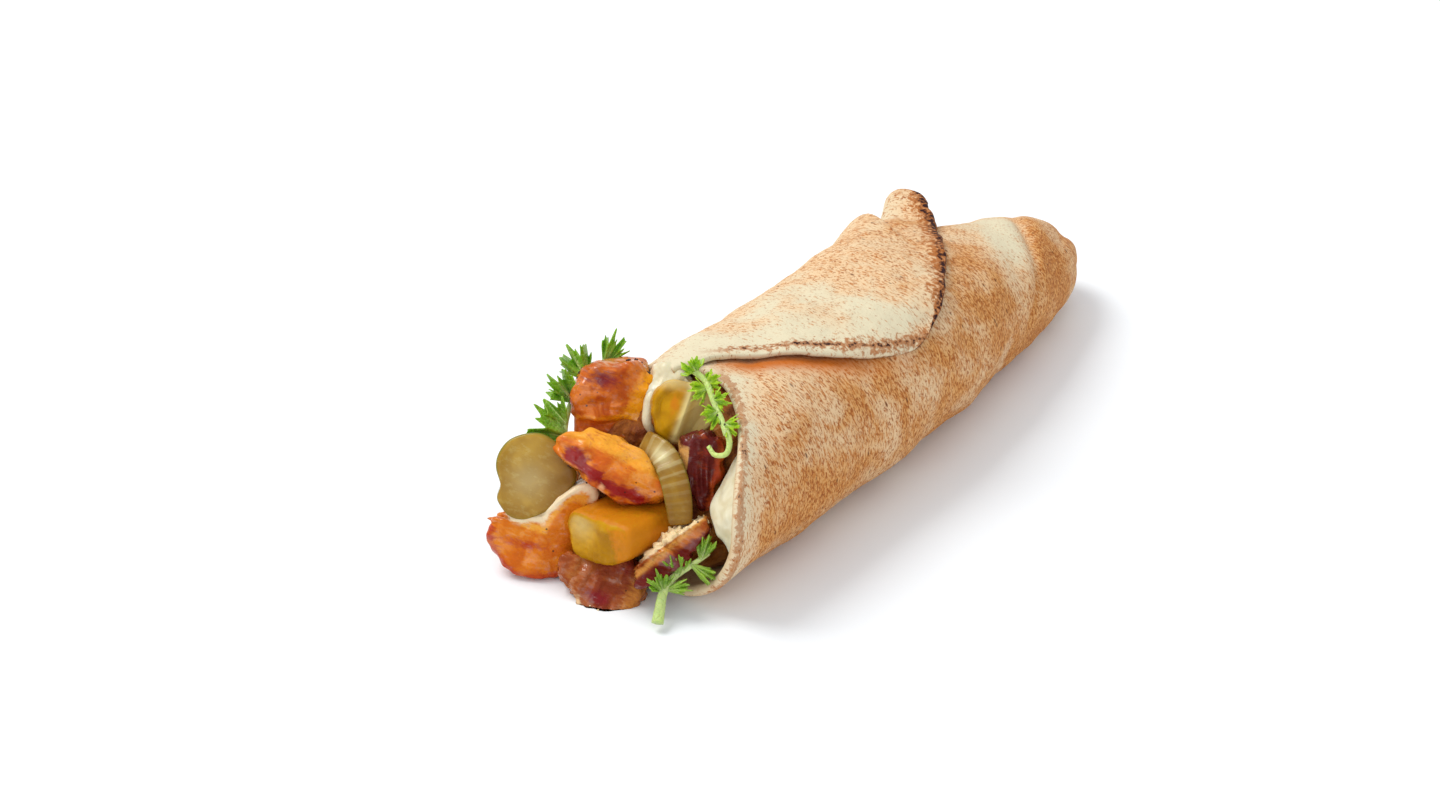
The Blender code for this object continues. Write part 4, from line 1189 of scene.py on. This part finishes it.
# Each scatter's form, spot, reach, count, size and seed.
top, middle_slice = chicken_forms["top"], chicken_forms["middle"]
put("pepper", joined([
    sprinkled(top, (-11, 15, 53), 3.0, 9, 0.42, 301),
    sprinkled(top, (-15, 24, 50), 3.0, 6, 0.42, 302),
    sprinkled(top, (-19, 25, 43), 4.5, 14, 0.40, 303),
    sprinkled(middle_slice, (-33, 17, 34), 2.5, 12, 0.42, 304),
    sprinkled(middle_slice, (-27, 10, 40), 7.0, 12, 0.32, 305),
    sprinkled(chicken_forms["charred"], (-15, -10, 38), 3.5, 8, 0.36, 306),
    sprinkled(right_tuft, (-8, -12, 49), 5.0, 9, 0.32, 307),
]), grit_material("pepper", (0.012, 0.008, 0.008), (0.07, 0.035, 0.025), 0.6), None)
put("crumbs", joined([
    sprinkled(chicken_forms["crumbed"], (-24, -16, 22), 5.0, 60, 0.34, 311),
    sprinkled(chicken_forms["crumbed"], (-27, -6, 19), 4.0, 40, 0.32, 312),
    sprinkled(chicken_forms["bottom"], (-46, 3, 1.5), 3.0, 24, 0.34, 313),
]), grit_material("crumbs", (0.74, 0.50, 0.20), (0.90, 0.76, 0.46), 0.7), None)


# ---------------------------------------------------------------- the studio
# A seamless white table, one broad lamp behind and above on the far side, a weak fill from the
# front, and a bright white room.

bpy.ops.mesh.primitive_plane_add(size=8.0, location=(0, 0, 0))
table = bpy.context.object
table.name = "table"
paint, _, shader = new_material("white_table", 0.9, 0.1)
shader.inputs["Base Color"].default_value = (0.905, 0.93, 0.955, 1.0)
table.data.materials.append(paint)


def lamp(name, place_m, aim, size, power, colour=(1.0, 1.0, 1.0)):
    """A square area lamp at a place, turned to its aim."""
    light = bpy.data.lights.new(name, "AREA")
    light.size, light.energy, light.color = size, power, colour
    obj = bpy.data.objects.new(name, light)
    bpy.context.scene.collection.objects.link(obj)
    obj.location = place_m
    heading = Vector(aim) - Vector(place_m)
    obj.rotation_mode = "QUATERNION"
    obj.rotation_quaternion = heading.to_track_quat("-Z", "Y")


lamp("window", (-0.20, 0.75, 1.2), (0, 0, 0), 0.7, 11.5, (1.0, 0.985, 0.96))
lamp("fill", (-1.2, -0.5, 0.7), (-0.05, 0, 0.02), 0.9, 2.5)
room = bpy.data.worlds.new("room")
room.use_nodes = True
room.node_tree.nodes["Background"].inputs["Color"].default_value = (0.96, 0.985, 1.01, 1.0)
room.node_tree.nodes["Background"].inputs["Strength"].default_value = 0.80
bpy.context.scene.world = room
bpy.context.scene.view_settings.view_transform = "Standard"

# The camera looks down on the mouth from the front left.
VIEW_TARGET = Vector((-0.0232, 0.0252, 0.0116))
VIEW_FROM = Vector((-0.6800, -0.5218, 0.5150))
camera = bpy.data.objects.new("camera", bpy.data.cameras.new("camera"))
bpy.context.scene.collection.objects.link(camera)
camera.data.lens = 85.0
camera.data.sensor_width = 36.0
camera.data.clip_start = 0.01
camera.location = VIEW_TARGET + VIEW_FROM
camera.rotation_mode = "QUATERNION"
camera.rotation_quaternion = VIEW_FROM.to_track_quat("Z", "Y")
bpy.context.scene.camera = camera
